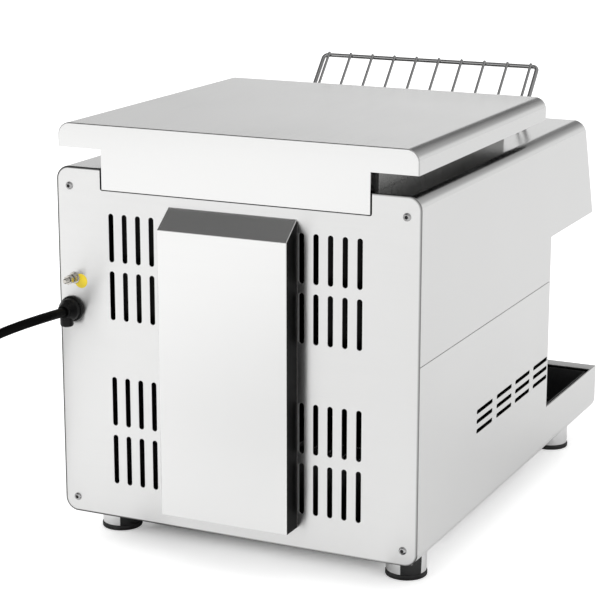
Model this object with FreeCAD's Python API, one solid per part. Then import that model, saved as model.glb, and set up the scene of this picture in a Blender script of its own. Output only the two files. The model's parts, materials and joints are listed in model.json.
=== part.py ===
import FreeCAD, Part
import math
import os

V = FreeCAD.Vector

# Frame: +Z up, floor at z = 0, the front faces -Y, +X is right seen from the front.
# "depth" is measured forward from the outer face of the rear panel, all sizes in millimetres.

# Casing
body_width = 368.0
half_width = body_width / 2
foot_height = 29.0
panel_height = 340.0
edge_radius = 13.0
sheet = 1.5
hood_reach = 22.3
tray_reach = 537.3
rear_y = (tray_reach - hood_reach) / 2
body_top = foot_height + panel_height
inside_floor = foot_height + sheet
body_reach = 361.5
seam_height = 216.0
seam_gap = 0.4
arm_top = 80.0
lip_width = 18.0
tray_end_bend = 9.0
tab_x = (161.0, 179.0)
tab_low = (inside_floor, 52.0)
tab_high = (343.0, 358.0)
floor_slot_depths = (210.0, 290.0)
floor_slot_half_width = 3.0
floor_slot_pitch = 20.0
floor_slots = 7
fit_gap = 0.1
nose_bottom = 263.0
nose_reach_low = 503.3
nose_reach_high = 464.8
nose_tilt = math.atan2(nose_reach_low - nose_reach_high, body_top - nose_bottom)

# Top cover
cover_half_width = 181.0
cover_top = 410.0
cover_skirt_bottom = 387.0
cover_reach = 341.0
cover_radius = 12.0
flange_half_width = 135.5
flange_bottom = 349.2

# Rear panel and hood
notch_half_width = 137.1
notch_bottom = 348.5
slot_width = 5.0
slot_first_x = 69.4
slot_pitch = 14.2
slot_columns = 5
slot_rows = ((281.3, 327.4), (225.6, 272.5), (121.8, 169.7), (63.6, 112.3))
screw_x = 170.2
screw_heights = (350.5, 43.8)
screw_radius = 2.0
screw_head_radius = 3.8
screw_head_height = 2.2
screw_head_bend = 1.2
screw_socket_radius = 1.5
screw_length = 11.0
hood_half_width = 65.2
hood_bottom = 49.3
hood_face_top = 322.0
hood_top = 339.1

# Side vents in the base shell
vent_depths = ((149.1, 193.7), (205.0, 249.3), (259.5, 304.1), (314.8, 359.4))
vent_heights = (114.4, 124.1, 133.7)
vent_slot_height = 4.1

# Toasting chamber
wall = 1.2
chamber_half_width = 137.0
wall_outside = chamber_half_width + wall
wall_rear_depth = 13.0
wall_nose_depth = 440.0
reflector_height = 384.0
reflector_depths = (30.0, 334.0)
reflector_lip = 14.0
reflector_bend = 4.0

# Conveyor
shaft_height = 293.0
drive_depth = 75.0
idler_depth = 385.0
shaft_radius = 5.0
running_gap = 0.05
bush_radius = 7.0
bush_flange_radius = 10.0
bush_flange = 2.0
bush_inside = 3.0
shaft_end = 146.0
drive_shaft_end = 160.0
belt_radius = 19.0
belt_half_width = 122.0
belt_rod_radius = 1.25
belt_rods = 44
belt_strands = (-120.0, -60.0, 0.0, 60.0, 120.0)
belt_strand_half_width = 1.5
belt_strand_thickness = 1.6
wheel_places = (-90.0, -30.0, 30.0, 90.0)
wheel_radius = 17.0
wheel_half_width = 2.5
wheel_notches = 8
wheel_notch_radius = 3.4
wheel_hub_radius = 9.0
wheel_hub_half_width = 6.0

# Drive
motor_depth = 150.0
motor_height = 95.0
chain_place = (147.5, 152.5)
shaft_chain_radius = 20.0
motor_chain_radius = 28.0
chain_thickness = 5.0
shaft_teeth = 20
motor_teeth = 28
tooth_notch_radius = 2.2
sprocket_clearance = 3.0
sprocket_half_width = 2.0
sprocket_hub_half_width = 5.0
sprocket_hub_wall = 4.0
motor_shaft_radius = 4.0
motor_shaft_x = (118.0, 157.0)
motor_hole_radius = 9.0
gearbox_start_x = 97.0
gearbox_half_depth = 32.0
gearbox_half_height = 33.0
gearbox_bend = 6.0
motor_can = (42.0, 28.0)
motor_cap = (37.0, 22.0)

# Heating elements
element_radius = 5.0
upper_element_height = 358.0
lower_element_height = 293.0
upper_element_depths = (110.0, 195.0, 280.0)
lower_element_depths = (140.0, 225.0, 310.0)
element_half_length = 146.0
element_pin_radius = 1.5
element_pin_length = 14.0
element_hole_radius = 5.5
holder_radius = 8.5
holder_length = 14.0

# Feed rack, leaning forward from the vertical
rack_lean = math.radians(42.0)
rack_top_depth = 475.1
rack_top_height = 421.6
rack_half_width = 125.6
rack_frame_radius = 2.25
rack_wire_radius = 1.5
rack_wire_pitch = 26.36
rack_wires = 10
rack_length = 120.0
rack_corner_radius = 8.0
rack_bar_half_length = 134.0
rack_wire_sink = 0.4
rack_wire_over = 3.0
hook_inner_x = 129.0
hook_gap = 0.4
hook_jaw = 4.5
hook_above = 9.0
hook_below = 7.0
baffle_depth = 418.0
baffle_top = 354.0
baffle_foot = 14.0

# Trays and slide
slide_slope = math.tan(math.radians(18.0))
slide_end = (362.0, 84.0)
slide_back_depth = 16.0
slide_bend = 45.0
crumb_half_width = 124.0
crumb_depths = (64.0, 356.0)
crumb_heights = (226.0, 244.0)
crumb_sheet = 1.0
crumb_grip_half_width = 60.0
crumb_grip_reach = 13.0
crumb_grip_fold = 8.0
rail_inner_x = 118.0
rail_drop = 12.0
rail_gap = 0.3
tray_half_width = 178.0
tray_depths = (364.0, 518.6)
tray_heights = (36.0, 77.0)
tray_bend = 9.0
tray_sheet = 1.0

# Feet
foot_x = 152.4
foot_depths = (53.3, 475.0)
foot_pad_radius = 19.8
foot_sleeve_radius = 19.0
foot_pad_height = 5.0
foot_core_radius = 17.0
foot_hole_radius = 3.2
foot_screw_radius = 3.0
foot_head_radius = 6.0
foot_head_heights = (4.0, 8.0)
foot_recess_radius = 7.0
foot_cap = 2.0
foot_nut_half_width = 5.0
foot_nut_height = 4.5

# Supply
gland_x = 170.2
gland_height = 232.3
gland_reach = 17.0
gland_flange = (12.4, 3.5)
gland_body = (11.0, 9.0)
gland_mouth_radius = 6.6
gland_lug_radius = 6.4
gland_lug_reach = 9.5
gland_lug_heights = (-15.3, -4.0)
gland_thread = (7.9, 14.0)
gland_nut = (10.0, 7.0)
gland_hole_radius = 8.0
cord_radius = 4.5
stud_x = 167.3
stud_height = 262.4
stud_radius = 2.5
stud_depths = (12.0, -18.0)
stud_hole_radius = 2.6
washer_radius = 5.6
washer_thickness = 1.0
nut_half_width = 4.0
nut_thickness = 4.0
nut_outer_depths = (-5.0, -12.0, sheet)
block_end_x = 160.0
block_depths = (45.0, 75.0)
block_heights = (193.0, 214.0)
block_wells = (144.2, 149.2, 154.2)
well_radius = 1.9
well_depth = 7.0
lead_wire_radius = 1.4
lead_wire_pitch = 4.0
lead_wire_bend = 4.5
lead_wire_depths = (14.0, 24.0, 35.0, 45.0)

# Fan behind the hood
fan_half = 40.0
fan_height = 100.0
fan_thickness = 25.0
fan_hole_radius = 38.0
fan_corner_bend = 4.0
fan_hub_radius = 15.0
fan_hub_depths = (5.0, 22.0)
fan_motor_radius = 14.0
fan_strut_thickness = 3.0
fan_strut_half_width = 2.5
fan_axle_radius = 2.0
fan_blades = 7
fan_blade_size = (23.0, 15.0, 1.6)
fan_blade_start = 13.0
fan_blade_twist = 38.0
fan_middle_depth = 13.5
guard_rings = (12.0, 22.0, 32.0, 39.0)
guard_wire_radius = 1.0
guard_bar_reach = 42.0
guard_depth = -1.0
guard_bar_step = 1.2


def y_at(depth):
    return rear_y - depth


def block(x, depth, z):
    """Box from (low, high) pairs across, in depth and in height."""
    corner = V(x[0], y_at(depth[1]), z[0])
    return Part.makeBox(x[1] - x[0], depth[1] - depth[0], z[1] - z[0], corner)


def rod(start, end, radius):
    """Round bar between two points."""
    line = end - start
    return Part.makeCylinder(radius, line.Length, start, line)


def rod_across(x_low, x_high, depth, z, radius):
    return rod(V(x_low, y_at(depth), z), V(x_high, y_at(depth), z), radius)


def rod_deep(x, depth_near, depth_far, z, radius):
    return rod(V(x, y_at(depth_near), z), V(x, y_at(depth_far), z), radius)


def rod_up(x, depth, z_low, z_high, radius):
    return rod(V(x, y_at(depth), z_low), V(x, y_at(depth), z_high), radius)


def fused(shapes):
    first = shapes[0]
    if len(shapes) == 1:
        return first
    return first.multiFuse(shapes[1:]).removeSplitter()


def mirrored(shape):
    """The same piece on the other side of the middle plane."""
    return shape.mirror(V(0, 0, 0), V(1, 0, 0))


def tangent_arc(start, corner, end):
    """Arc touching both legs of a corner, the two legs being equally long."""
    middle = (start + end) * 0.5
    leg = (corner - start).Length
    half_chord = (end - start).Length / 2
    half_turn = math.acos(min(1.0, half_chord / leg))
    bow = half_chord * math.tan(half_turn / 2)
    rise = (corner - middle).Length
    top = middle + (corner - middle) * (bow / rise)
    return Part.Arc(start, top, end).toShape()


def turn_at(before, corner, after):
    """Angle by which the route turns at a corner."""
    return (corner - before).getAngle(after - corner)


def rounded_edges(points, radii, closed=False):
    """Straight runs joined by tangent arcs, one radius for each point, 0 for a sharp corner."""
    count = len(points)
    cuts = []
    for i in range(count):
        corner = points[i]
        inner = closed or 0 < i < count - 1
        if not inner or radii[i] <= 0:
            cuts.append((corner, corner))
            continue
        before = points[i - 1]
        after = points[(i + 1) % count]
        leg = radii[i] * math.tan(turn_at(before, corner, after) / 2)
        to_before = (before - corner).normalize()
        to_after = (after - corner).normalize()
        cuts.append((corner + to_before * leg, corner + to_after * leg))
    edges = []
    for i in range(count):
        arrive, leave = cuts[i]
        if (leave - arrive).Length > 1e-6:
            edges.append(tangent_arc(arrive, points[i], leave))
        if i < count - 1 or closed:
            following = cuts[(i + 1) % count][0]
            if (following - leave).Length > 1e-6:
                edges.append(Part.LineSegment(leave, following).toShape())
    return edges


def across_plane(depth):
    """Maps (x, z) pairs to the upright plane at a depth."""
    return lambda pair: V(pair[0], y_at(depth), pair[1])


def side_plane(x):
    """Maps (depth, z) pairs to the upright plane at an x."""
    return lambda pair: V(x, y_at(pair[0]), pair[1])


def prism_deep(pairs, depth_near, depth_far, radii=None):
    """Outline of (x, z) pairs carried from one depth to another."""
    points = [across_plane(depth_near)(pair) for pair in pairs]
    edges = rounded_edges(points, radii or [0] * len(points), closed=True)
    face = Part.Face(Part.Wire(edges))
    return face.extrude(V(0, depth_near - depth_far, 0))


def prism_across(pairs, x_low, x_high, radii=None):
    """Outline of (depth, z) pairs carried from one x to another."""
    points = [side_plane(x_low)(pair) for pair in pairs]
    edges = rounded_edges(points, radii or [0] * len(points), closed=True)
    face = Part.Face(Part.Wire(edges))
    return face.extrude(V(x_high - x_low, 0, 0))


def shifted_line(pairs, distance):
    """The same open line moved to its left, with mitred corners."""
    moved = []
    last = len(pairs) - 1
    for i in range(len(pairs)):
        lefts = []
        for a, b in ((i - 1, i), (i, i + 1)):
            if a < 0 or b > last:
                continue
            across = pairs[b][0] - pairs[a][0]
            along = pairs[b][1] - pairs[a][1]
            length = math.hypot(across, along)
            lefts.append((-along / length, across / length))
        if len(lefts) == 1:
            step = lefts[0]
        else:
            total = (lefts[0][0] + lefts[1][0], lefts[0][1] + lefts[1][1])
            scale = 2 / (total[0] ** 2 + total[1] ** 2)
            step = (total[0] * scale, total[1] * scale)
        moved.append((pairs[i][0] + step[0] * distance, pairs[i][1] + step[1] * distance))
    return moved


def folded_face(pairs, bend, thickness, place):
    """Section of a folded sheet whose thickness lies to the left of the given line."""
    twin = shifted_line(pairs, thickness)
    near_radii = [0]
    far_radii = [0]
    for i in range(1, len(pairs) - 1):
        first = (pairs[i][0] - pairs[i - 1][0], pairs[i][1] - pairs[i - 1][1])
        second = (pairs[i + 1][0] - pairs[i][0], pairs[i + 1][1] - pairs[i][1])
        turns_left = first[0] * second[1] - first[1] * second[0] > 0
        near_radii.append(bend if turns_left else bend - thickness)
        far_radii.append(bend - thickness if turns_left else bend)
    near_radii.append(0)
    far_radii.append(0)
    near = [place(pair) for pair in pairs]
    far = [place(pair) for pair in twin]
    edges = rounded_edges(near, near_radii)
    edges.append(Part.LineSegment(near[-1], far[-1]).toShape())
    edges.extend(reversed(rounded_edges(far, far_radii)))
    edges.append(Part.LineSegment(far[0], near[0]).toShape())
    return Part.Face(Part.Wire(Part.__sortEdges__(edges)))


def folded_across(pairs, bend, thickness, x_low, x_high):
    """Sheet folded along lines that run across the machine."""
    face = folded_face(pairs, bend, thickness, side_plane(x_low))
    return face.extrude(V(x_high - x_low, 0, 0))


def folded_deep(pairs, bend, thickness, depth_near, depth_far):
    """Sheet folded along lines that run from rear to front."""
    face = folded_face(pairs, bend, thickness, across_plane(depth_near))
    return face.extrude(V(0, depth_near - depth_far, 0))


def tube(edges, radius):
    """Round tube along straight runs and arcs, as a solid."""
    spine = Part.Wire(edges)
    first = edges[0]
    start = first.valueAt(first.FirstParameter)
    heading = first.tangentAt(first.FirstParameter)
    ring = Part.Wire(Part.Circle(start, heading, radius).toShape())
    return spine.makePipeShell([ring], True, False)


def upright_slot(x, z_low, z_high, width, depth_near, depth_far):
    """Slot with round ends that runs through a panel from rear to front."""
    radius = width / 2
    middle = block((x - radius, x + radius), (depth_near, depth_far), (z_low + radius, z_high - radius))
    ends = [rod_deep(x, depth_near, depth_far, z, radius) for z in (z_low + radius, z_high - radius)]
    return fused([middle] + ends)


def lying_slot(x_low, x_high, depths, z, height):
    """Slot with round ends that runs through a side wall."""
    radius = height / 2
    near = depths[0] + radius
    far = depths[1] - radius
    middle = block((x_low, x_high), (near, far), (z - radius, z + radius))
    ends = [rod_across(x_low, x_high, depth, z, radius) for depth in (near, far)]
    return fused([middle] + ends)


def four_corners(rows):
    """Left and right place at each listed value."""
    return [(side, row) for row in rows for side in (-1, 1)]


# Casing

def base_section(inset, top):
    """U-shaped filled section of the base shell."""
    side = half_width - inset
    low = foot_height + inset
    bend = edge_radius - inset
    pairs = [(-side, top), (-side, low), (side, low), (side, top)]
    return prism_deep(pairs, sheet, tray_reach, [0, bend, bend, 0])


def base_side(inset, top):
    """Filled side outline of the base shell, with its low tray arms in front."""
    low = foot_height + inset
    front = tray_reach - inset
    front_bend = tray_end_bend - inset
    if inset:
        pairs = [(0, low), (front, low), (front, top), (0, top)]
        radii = [0, front_bend, 0, 0]
    else:
        pairs = [(0, low), (front, low), (front, arm_top), (body_reach, arm_top), (body_reach, top), (0, top)]
        radii = [0, front_bend, 0, 0, 0, 0]
    return prism_across(pairs, -half_width, half_width, radii)


def make_base_shell():
    above = seam_height + 50
    outer = base_section(0, seam_height).common(base_side(0, seam_height))
    inner = base_section(sheet, above).common(base_side(sheet, above))
    shell = outer.cut(inner)
    lip_inside = half_width - sheet
    lip_depths = (tray_reach - lip_width, tray_reach - sheet)
    lip = block((-lip_inside, lip_inside), lip_depths, (arm_top - sheet, arm_top))
    pieces = [shell, lip]
    for side in (-1, 1):
        post_x = sorted((side * wall_outside, side * (half_width - sheet)))
        post_heights = (edge_radius + foot_height, seam_height)
        pieces.append(block(post_x, (body_reach - sheet, body_reach), post_heights))
        tab_ends = sorted(side * x for x in tab_x)
        pieces.append(block(tab_ends, (sheet, 2 * sheet), tab_low))
    shell = fused(pieces)
    cutters = []
    through = half_width + 5
    for side in (-1, 1):
        x_low, x_high = sorted((side * (half_width - 4), side * through))
        for depths in vent_depths:
            for z in vent_heights:
                cutters.append(lying_slot(x_low, x_high, depths, z, vent_slot_height))
        cutters.append(rod_deep(side * screw_x, 0, 10, screw_heights[1], screw_radius + fit_gap))
    for side, depth in four_corners(foot_depths):
        cutters.append(rod_up(side * foot_x, depth, foot_height - 1, inside_floor + 1, foot_hole_radius))
    for column in range(floor_slots):
        x = (column - (floor_slots - 1) / 2) * floor_slot_pitch
        across = (x - floor_slot_half_width, x + floor_slot_half_width)
        cutters.append(block(across, floor_slot_depths, (foot_height - 1, inside_floor + 1)))
    return shell.cut(cutters)


def nose_side_outline():
    """Side outline of an upper cover, as (depth, z) pairs."""
    low = seam_height + seam_gap
    return [(sheet, low), (body_reach, low), (body_reach, nose_bottom), (nose_reach_low, nose_bottom),
            (nose_reach_high, body_top), (sheet, body_top)]


def make_upper_cover(side):
    line = [(half_width, seam_height + seam_gap), (half_width, body_top), (wall_outside, body_top)]
    bent = folded_deep(line, edge_radius, sheet, sheet, nose_reach_low)
    bent = bent.common(prism_across(nose_side_outline(), 0, half_width + 1))
    inside = half_width - sheet
    post_heights = (seam_height + seam_gap, nose_bottom)
    post = block((wall_outside, inside), (body_reach - sheet, body_reach), post_heights)
    tab = block((tab_x[0], inside), (sheet, 2 * sheet), tab_high)
    cover = fused([bent, post, tab])
    cover = cover.cut(rod_deep(screw_x, 0, 10, screw_heights[0], screw_radius + fit_gap))
    return cover if side > 0 else mirrored(cover)


def make_rear_panel():
    pairs = [(-half_width, foot_height), (half_width, foot_height), (half_width, body_top),
             (notch_half_width, body_top), (notch_half_width, notch_bottom),
             (-notch_half_width, notch_bottom), (-notch_half_width, body_top), (-half_width, body_top)]
    bend = edge_radius
    panel = prism_deep(pairs, 0, sheet, [bend, bend, bend, 0, 2, 2, 0, bend])
    cutters = []
    for side in (-1, 1):
        for column in range(slot_columns):
            x = side * (slot_first_x + column * slot_pitch)
            for low, high in slot_rows:
                cutters.append(upright_slot(x, low, high, slot_width, -1, sheet + 1))
    for side, z in four_corners(screw_heights):
        cutters.append(rod_deep(side * screw_x, -1, sheet + 1, z, screw_radius + 2 * fit_gap))
    cutters.append(rod_deep(gland_x, -1, sheet + 1, gland_height, gland_hole_radius))
    cutters.append(rod_deep(stud_x, -1, sheet + 1, stud_height, stud_hole_radius))
    cutters.append(rod_deep(0, -1, sheet + 1, fan_height, fan_hole_radius - 2))
    return panel.cut(cutters)


def make_rear_panel_screws():
    screws = []
    for side, z in four_corners(screw_heights):
        x = side * screw_x
        head = rod_deep(x, 0, -screw_head_height, z, screw_head_radius)
        head = head.makeFillet(screw_head_bend, [head.Edges[i] for i in outer_rim(head, -screw_head_height)])
        socket = rod_deep(x, -0.4 * screw_head_height, -2 * screw_head_height, z, screw_socket_radius)
        shank = rod_deep(x, -0.2 * screw_head_height, screw_length, z, screw_radius)
        screws.append(fused([head.cut(socket), shank]))
    return screws


def outer_rim(shape, depth):
    """Places of the round edges of a shape that lie at a depth."""
    places = []
    for i, edge in enumerate(shape.Edges):
        flat = edge.BoundBox.YLength < 1e-6
        if flat and abs(edge.CenterOfMass.y - y_at(depth)) < 1e-4:
            places.append(i)
    return places


def cover_section(inset, low, depth_near, depth_far):
    side = cover_half_width - inset
    top = cover_top - inset
    bend = cover_radius - inset
    pairs = [(-side, low), (side, low), (side, top), (-side, top)]
    return prism_deep(pairs, depth_near, depth_far, [0, 0, bend, bend])


def make_top_cover():
    outer = cover_section(0, cover_skirt_bottom, 0, cover_reach)
    inner = cover_section(sheet, cover_skirt_bottom - 5, sheet, cover_reach - sheet)
    flange_heights = (flange_bottom, cover_top - cover_radius)
    flange = block((-flange_half_width, flange_half_width), (0, sheet), flange_heights)
    return fused([outer.cut(inner), flange])


def make_rear_hood():
    outer_pairs = [(0, hood_bottom), (-hood_reach, hood_bottom), (-hood_reach, hood_face_top), (0, hood_top)]
    outer = prism_across(outer_pairs, -hood_half_width, hood_half_width)
    reach = hood_reach - wall
    slope = (hood_top - hood_face_top) / hood_reach
    drop = wall * math.hypot(1, slope)
    inner_pairs = [(1, hood_bottom - 1), (-reach, hood_bottom - 1),
                   (-reach, hood_face_top + slope * wall - drop), (0, hood_top - drop), (1, hood_top - drop)]
    inner = prism_across(inner_pairs, wall - hood_half_width, hood_half_width - wall)
    return outer.cut(inner)


def panel_frame(x, up):
    """Placement on the control panel's outer face: local Z out of it, local Y up its slope."""
    depth = nose_reach_low - up * math.sin(nose_tilt)
    z = nose_bottom + up * math.cos(nose_tilt)
    turn = FreeCAD.Rotation(V(1, 0, 0), 90 - math.degrees(nose_tilt))
    return FreeCAD.Placement(V(x, y_at(depth), z), turn)


def on_panel(shape, x, up):
    """A shape modelled flat, set on the control panel."""
    return shape.transformed(panel_frame(x, up).toMatrix(), True)


# Places on the control panel: x, distance up its slope
speed_place = (85.0, 56.0)
heat_place = (15.0, 56.0)
switch_place = (-60.0, 56.0)
lamp_place = (-105.0, 56.0)
panel_top_start = 446.0
panel_bend = 3.0
control_hole_radius = 4.2
spindle_radius = 3.0
spindle_depth = 11.0
switch_hole = (27.4, 20.4)
rocker_pin_depth = 3.0
rocker_tip = 8.0
lamp_hole_radius = 5.2
knob_skirt = (19.0, 1.0, 4.0)
knob_grip = (15.5, 14.0, 14.0)
knob_flutes = 12
knob_flute_radius = 3.0
knob_flute_ring = 17.4
knob_pointer = (3.0, 13.0, 1.2)
speed_body = (24.0, 14.0)
heat_body = (30.0, 28.0)
switch_bezel = (31.0, 24.0, 2.0)
switch_depth = 20.5
switch_well = (24.0, 17.8, 9.5)
rocker_pin_radius = 1.0
rocker_half_length = 11.5
rocker_section = ((-6.6, -5.0), (6.6, -5.0), (7.6, 3.4), (0.0, 1.6), (-7.6, 3.4))
lamp_length = 22.0
lamp_flange = (7.0, 1.5)
lamp_dome = (6.5, -2.0)


def make_control_panel():
    inset = sheet + fit_gap
    inside = half_width - inset
    line = [(panel_top_start, body_top), (nose_reach_high, body_top), (nose_reach_low, nose_bottom),
            (body_reach + 1.0, nose_bottom)]
    panel = folded_across(list(reversed(line)), panel_bend, sheet, -inside, inside)
    low = nose_bottom - 1
    top = body_top - inset
    bend = edge_radius - inset
    corners = [(-inside, low), (inside, low), (inside, top), (-inside, top)]
    depths = (body_reach, nose_reach_low + 1)
    between_covers = prism_deep(corners, *depths, [0, 0, bend, bend])
    middle = chamber_half_width - 2 * fit_gap
    between_strips = block((-middle, middle), depths, (low, body_top))
    panel = panel.common(fused([between_covers, between_strips]))
    cutters = []
    for place in (speed_place, heat_place):
        cutters.append(on_panel(Part.makeCylinder(control_hole_radius, 10, V(0, 0, -5)), *place))
    width, height = switch_hole
    cutters.append(on_panel(Part.makeBox(width, height, 10, V(-width / 2, -height / 2, -5)), *switch_place))
    cutters.append(on_panel(Part.makeCylinder(lamp_hole_radius, 10, V(0, 0, -5)), *lamp_place))
    return panel.cut(cutters)


# Chamber

def make_chamber_wall(side):
    low = inside_floor
    top = cover_top - sheet
    nose_top = body_top - sheet
    nose_low = nose_bottom + sheet
    pairs = [(wall_rear_depth, low), (body_reach - sheet, low), (body_reach - sheet, nose_low),
             (wall_nose_depth, nose_low), (wall_nose_depth, nose_top), (cover_reach - 4, nose_top),
             (cover_reach - 4, top), (wall_rear_depth, top)]
    plate = prism_across(pairs, chamber_half_width, wall_outside)
    cutters = []
    through = (chamber_half_width - 1, wall_outside + 1)
    for depth in (drive_depth, idler_depth):
        cutters.append(rod_across(*through, depth, shaft_height, bush_radius))
    for depth in upper_element_depths:
        cutters.append(rod_across(*through, depth, upper_element_height, element_hole_radius))
    for depth in lower_element_depths:
        cutters.append(rod_across(*through, depth, lower_element_height, element_hole_radius))
    if side > 0:
        cutters.append(rod_across(*through, motor_depth, motor_height, motor_hole_radius))
    plate = plate.cut(cutters)
    return plate if side > 0 else mirrored(plate)


def make_upper_reflector():
    low = reflector_height - reflector_lip
    near, far = reflector_depths
    line = [(near, low), (near, reflector_height), (far, reflector_height), (far, low)]
    return folded_across(line, reflector_bend, wall, -chamber_half_width, chamber_half_width)


def make_toast_slide():
    back_foot = slide_end[1] + (slide_end[0] - slide_back_depth) * slide_slope
    line = [slide_end, (slide_back_depth, back_foot), (slide_back_depth, reflector_height - 1)]
    return folded_across(line, slide_bend, wall, -chamber_half_width, chamber_half_width)


def make_feed_baffle():
    x = (-chamber_half_width, chamber_half_width)
    low = nose_bottom + sheet
    plate = block(x, (baffle_depth, baffle_depth + wall), (low, baffle_top))
    foot = block(x, (baffle_depth - baffle_foot, baffle_depth), (low, low + wall))
    return fused([plate, foot])


def rack_spot(x, down, behind=0.0):
    """Point in the rack's sloping plane, with a step behind it towards the chamber."""
    depth = rack_top_depth - down * math.sin(rack_lean) - behind * math.cos(rack_lean)
    z = rack_top_height - down * math.cos(rack_lean) + behind * math.sin(rack_lean)
    return V(x, y_at(depth), z)


def make_feed_rack():
    ends = [rack_spot(-rack_half_width, rack_length), rack_spot(-rack_half_width, 0),
            rack_spot(rack_half_width, 0), rack_spot(rack_half_width, rack_length)]
    frame = tube(rounded_edges(ends, [0, rack_corner_radius, rack_corner_radius, 0]), rack_frame_radius)
    bar = rod(rack_spot(-rack_bar_half_length, rack_length), rack_spot(rack_bar_half_length, rack_length),
              rack_frame_radius)
    behind = rack_frame_radius + rack_wire_radius - rack_wire_sink
    over = rack_wire_over
    pieces = [frame, bar]
    for i in range(rack_wires):
        x = (i - (rack_wires - 1) / 2) * rack_wire_pitch
        top = rack_spot(x, -over, behind)
        foot = rack_spot(x, rack_length + over, behind)
        pieces.append(rod(top, foot, rack_wire_radius))
    return fused(pieces)


def make_rack_hooks():
    gap = rack_frame_radius + hook_gap
    jaw = rack_frame_radius + hook_jaw
    down = (rack_length - hook_above, rack_length + hook_below)
    outline = []
    seat = rack_length + gap
    for across, along in ((-jaw, down[0]), (-jaw, down[1]), (jaw, down[1]), (jaw, down[0]),
                          (gap, down[0]), (gap, seat), (-gap, seat), (-gap, down[0])):
        spot = rack_spot(0, along, across)
        outline.append((rear_y - spot.y, spot.z))
    hook = prism_across(outline, hook_inner_x, chamber_half_width)
    return [hook, mirrored(hook)]


def make_element(depth, z):
    """Quartz heating tube with its two thin end pins."""
    body = rod_across(-element_half_length, element_half_length, depth, z, element_radius)
    pin_end = element_half_length + element_pin_length
    pins = [rod_across(side * element_half_length, side * pin_end, depth, z, element_pin_radius)
            for side in (-1, 1)]
    return fused([body] + pins)


def make_element_holders():
    holders = []
    rows = ((upper_element_depths, upper_element_height), (lower_element_depths, lower_element_height))
    for depths, z in rows:
        for depth in depths:
            body = rod_across(wall_outside, wall_outside + holder_length, depth, z, holder_radius)
            bore_end = element_half_length + 2 * fit_gap
            bore = rod_across(wall_outside - 1, bore_end, depth, z, element_radius + fit_gap)
            pin_end = element_half_length + element_pin_length
            pin_bore = rod_across(wall_outside, pin_end, depth, z, element_pin_radius + fit_gap)
            holder = body.cut([bore, pin_bore])
            holders.append(holder)
            holders.append(mirrored(holder))
    return holders


# Conveyor

def loop_block(first, first_radius, second, second_radius, x_low, x_high):
    """Filled shape inside a belt round two wheels, given as (depth, z) centres."""
    span = math.hypot(second[0] - first[0], second[1] - first[1])
    heading = math.atan2(second[1] - first[1], second[0] - first[0])
    lead = math.acos((first_radius - second_radius) / span)
    corners = []
    for centre, radius, sign in ((first, first_radius, 1), (second, second_radius, 1),
                                 (second, second_radius, -1), (first, first_radius, -1)):
        angle = heading + sign * lead
        corners.append((centre[0] + radius * math.cos(angle), centre[1] + radius * math.sin(angle)))
    middle = prism_across(corners, x_low, x_high)
    wheels = [rod_across(x_low, x_high, centre[0], centre[1], radius)
              for centre, radius in ((first, first_radius), (second, second_radius))]
    return fused([middle] + wheels)


def loop_band(first, first_radius, second, second_radius, thickness, x_low, x_high):
    half = thickness / 2
    outer = loop_block(first, first_radius + half, second, second_radius + half, x_low, x_high)
    inner = loop_block(first, first_radius - half, second, second_radius - half, x_low - 1, x_high + 1)
    return outer.cut(inner)


def belt_spot(distance):
    """(depth, z) at a distance along the belt's middle line."""
    straight = idler_depth - drive_depth
    half_round = math.pi * belt_radius
    if distance < straight:
        return drive_depth + distance, shaft_height + belt_radius
    distance -= straight
    if distance < half_round:
        angle = distance / belt_radius
        return idler_depth + belt_radius * math.sin(angle), shaft_height + belt_radius * math.cos(angle)
    distance -= half_round
    if distance < straight:
        return idler_depth - distance, shaft_height - belt_radius
    angle = (distance - straight) / belt_radius
    return drive_depth - belt_radius * math.sin(angle), shaft_height - belt_radius * math.cos(angle)


def make_conveyor_belt():
    """Wire belt: cross rods on five link strands that run round both shafts."""
    length = 2 * (idler_depth - drive_depth) + 2 * math.pi * belt_radius
    first = (drive_depth, shaft_height)
    second = (idler_depth, shaft_height)
    pieces = []
    half = belt_strand_half_width
    for x in belt_strands:
        strand = loop_band(first, belt_radius, second, belt_radius, belt_strand_thickness, x - half, x + half)
        pieces.append(strand)
    for i in range(belt_rods):
        depth, z = belt_spot(length * (i + 0.5) / belt_rods)
        pieces.append(rod_across(-belt_half_width, belt_half_width, depth, z, belt_rod_radius))
    return pieces[0].multiFuse(pieces[1:])


def make_belt_wheels(depth):
    wheels = []
    for x in wheel_places:
        disc = rod_across(x - wheel_half_width, x + wheel_half_width, depth, shaft_height, wheel_radius)
        notches = []
        for i in range(wheel_notches):
            angle = 2 * math.pi * i / wheel_notches
            notch_depth = depth + (wheel_radius + 1) * math.cos(angle)
            notch_z = shaft_height + (wheel_radius + 1) * math.sin(angle)
            notches.append(rod_across(x - 4, x + 4, notch_depth, notch_z, wheel_notch_radius))
        hub_ends = (x - wheel_hub_half_width, x + wheel_hub_half_width)
        hub = rod_across(*hub_ends, depth, shaft_height, wheel_hub_radius)
        wheel = fused([disc.cut(notches), hub])
        wheels.append(wheel.cut(rod_across(x - 10, x + 10, depth, shaft_height, shaft_radius)))
    return wheels


def make_shaft_bushes():
    bushes = []
    for depth in (drive_depth, idler_depth):
        sleeve = rod_across(chamber_half_width - bush_inside, wall_outside, depth, shaft_height, bush_radius)
        flange = rod_across(wall_outside, wall_outside + bush_flange, depth, shaft_height, bush_flange_radius)
        bore_radius = shaft_radius + running_gap
        bore = rod_across(chamber_half_width - 5, wall_outside + 5, depth, shaft_height, bore_radius)
        bush = fused([sleeve, flange]).cut(bore)
        bushes.append(bush)
        bushes.append(mirrored(bush))
    return bushes


def make_drive_shaft():
    return rod_across(-shaft_end, drive_shaft_end, drive_depth, shaft_height, shaft_radius)


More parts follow.
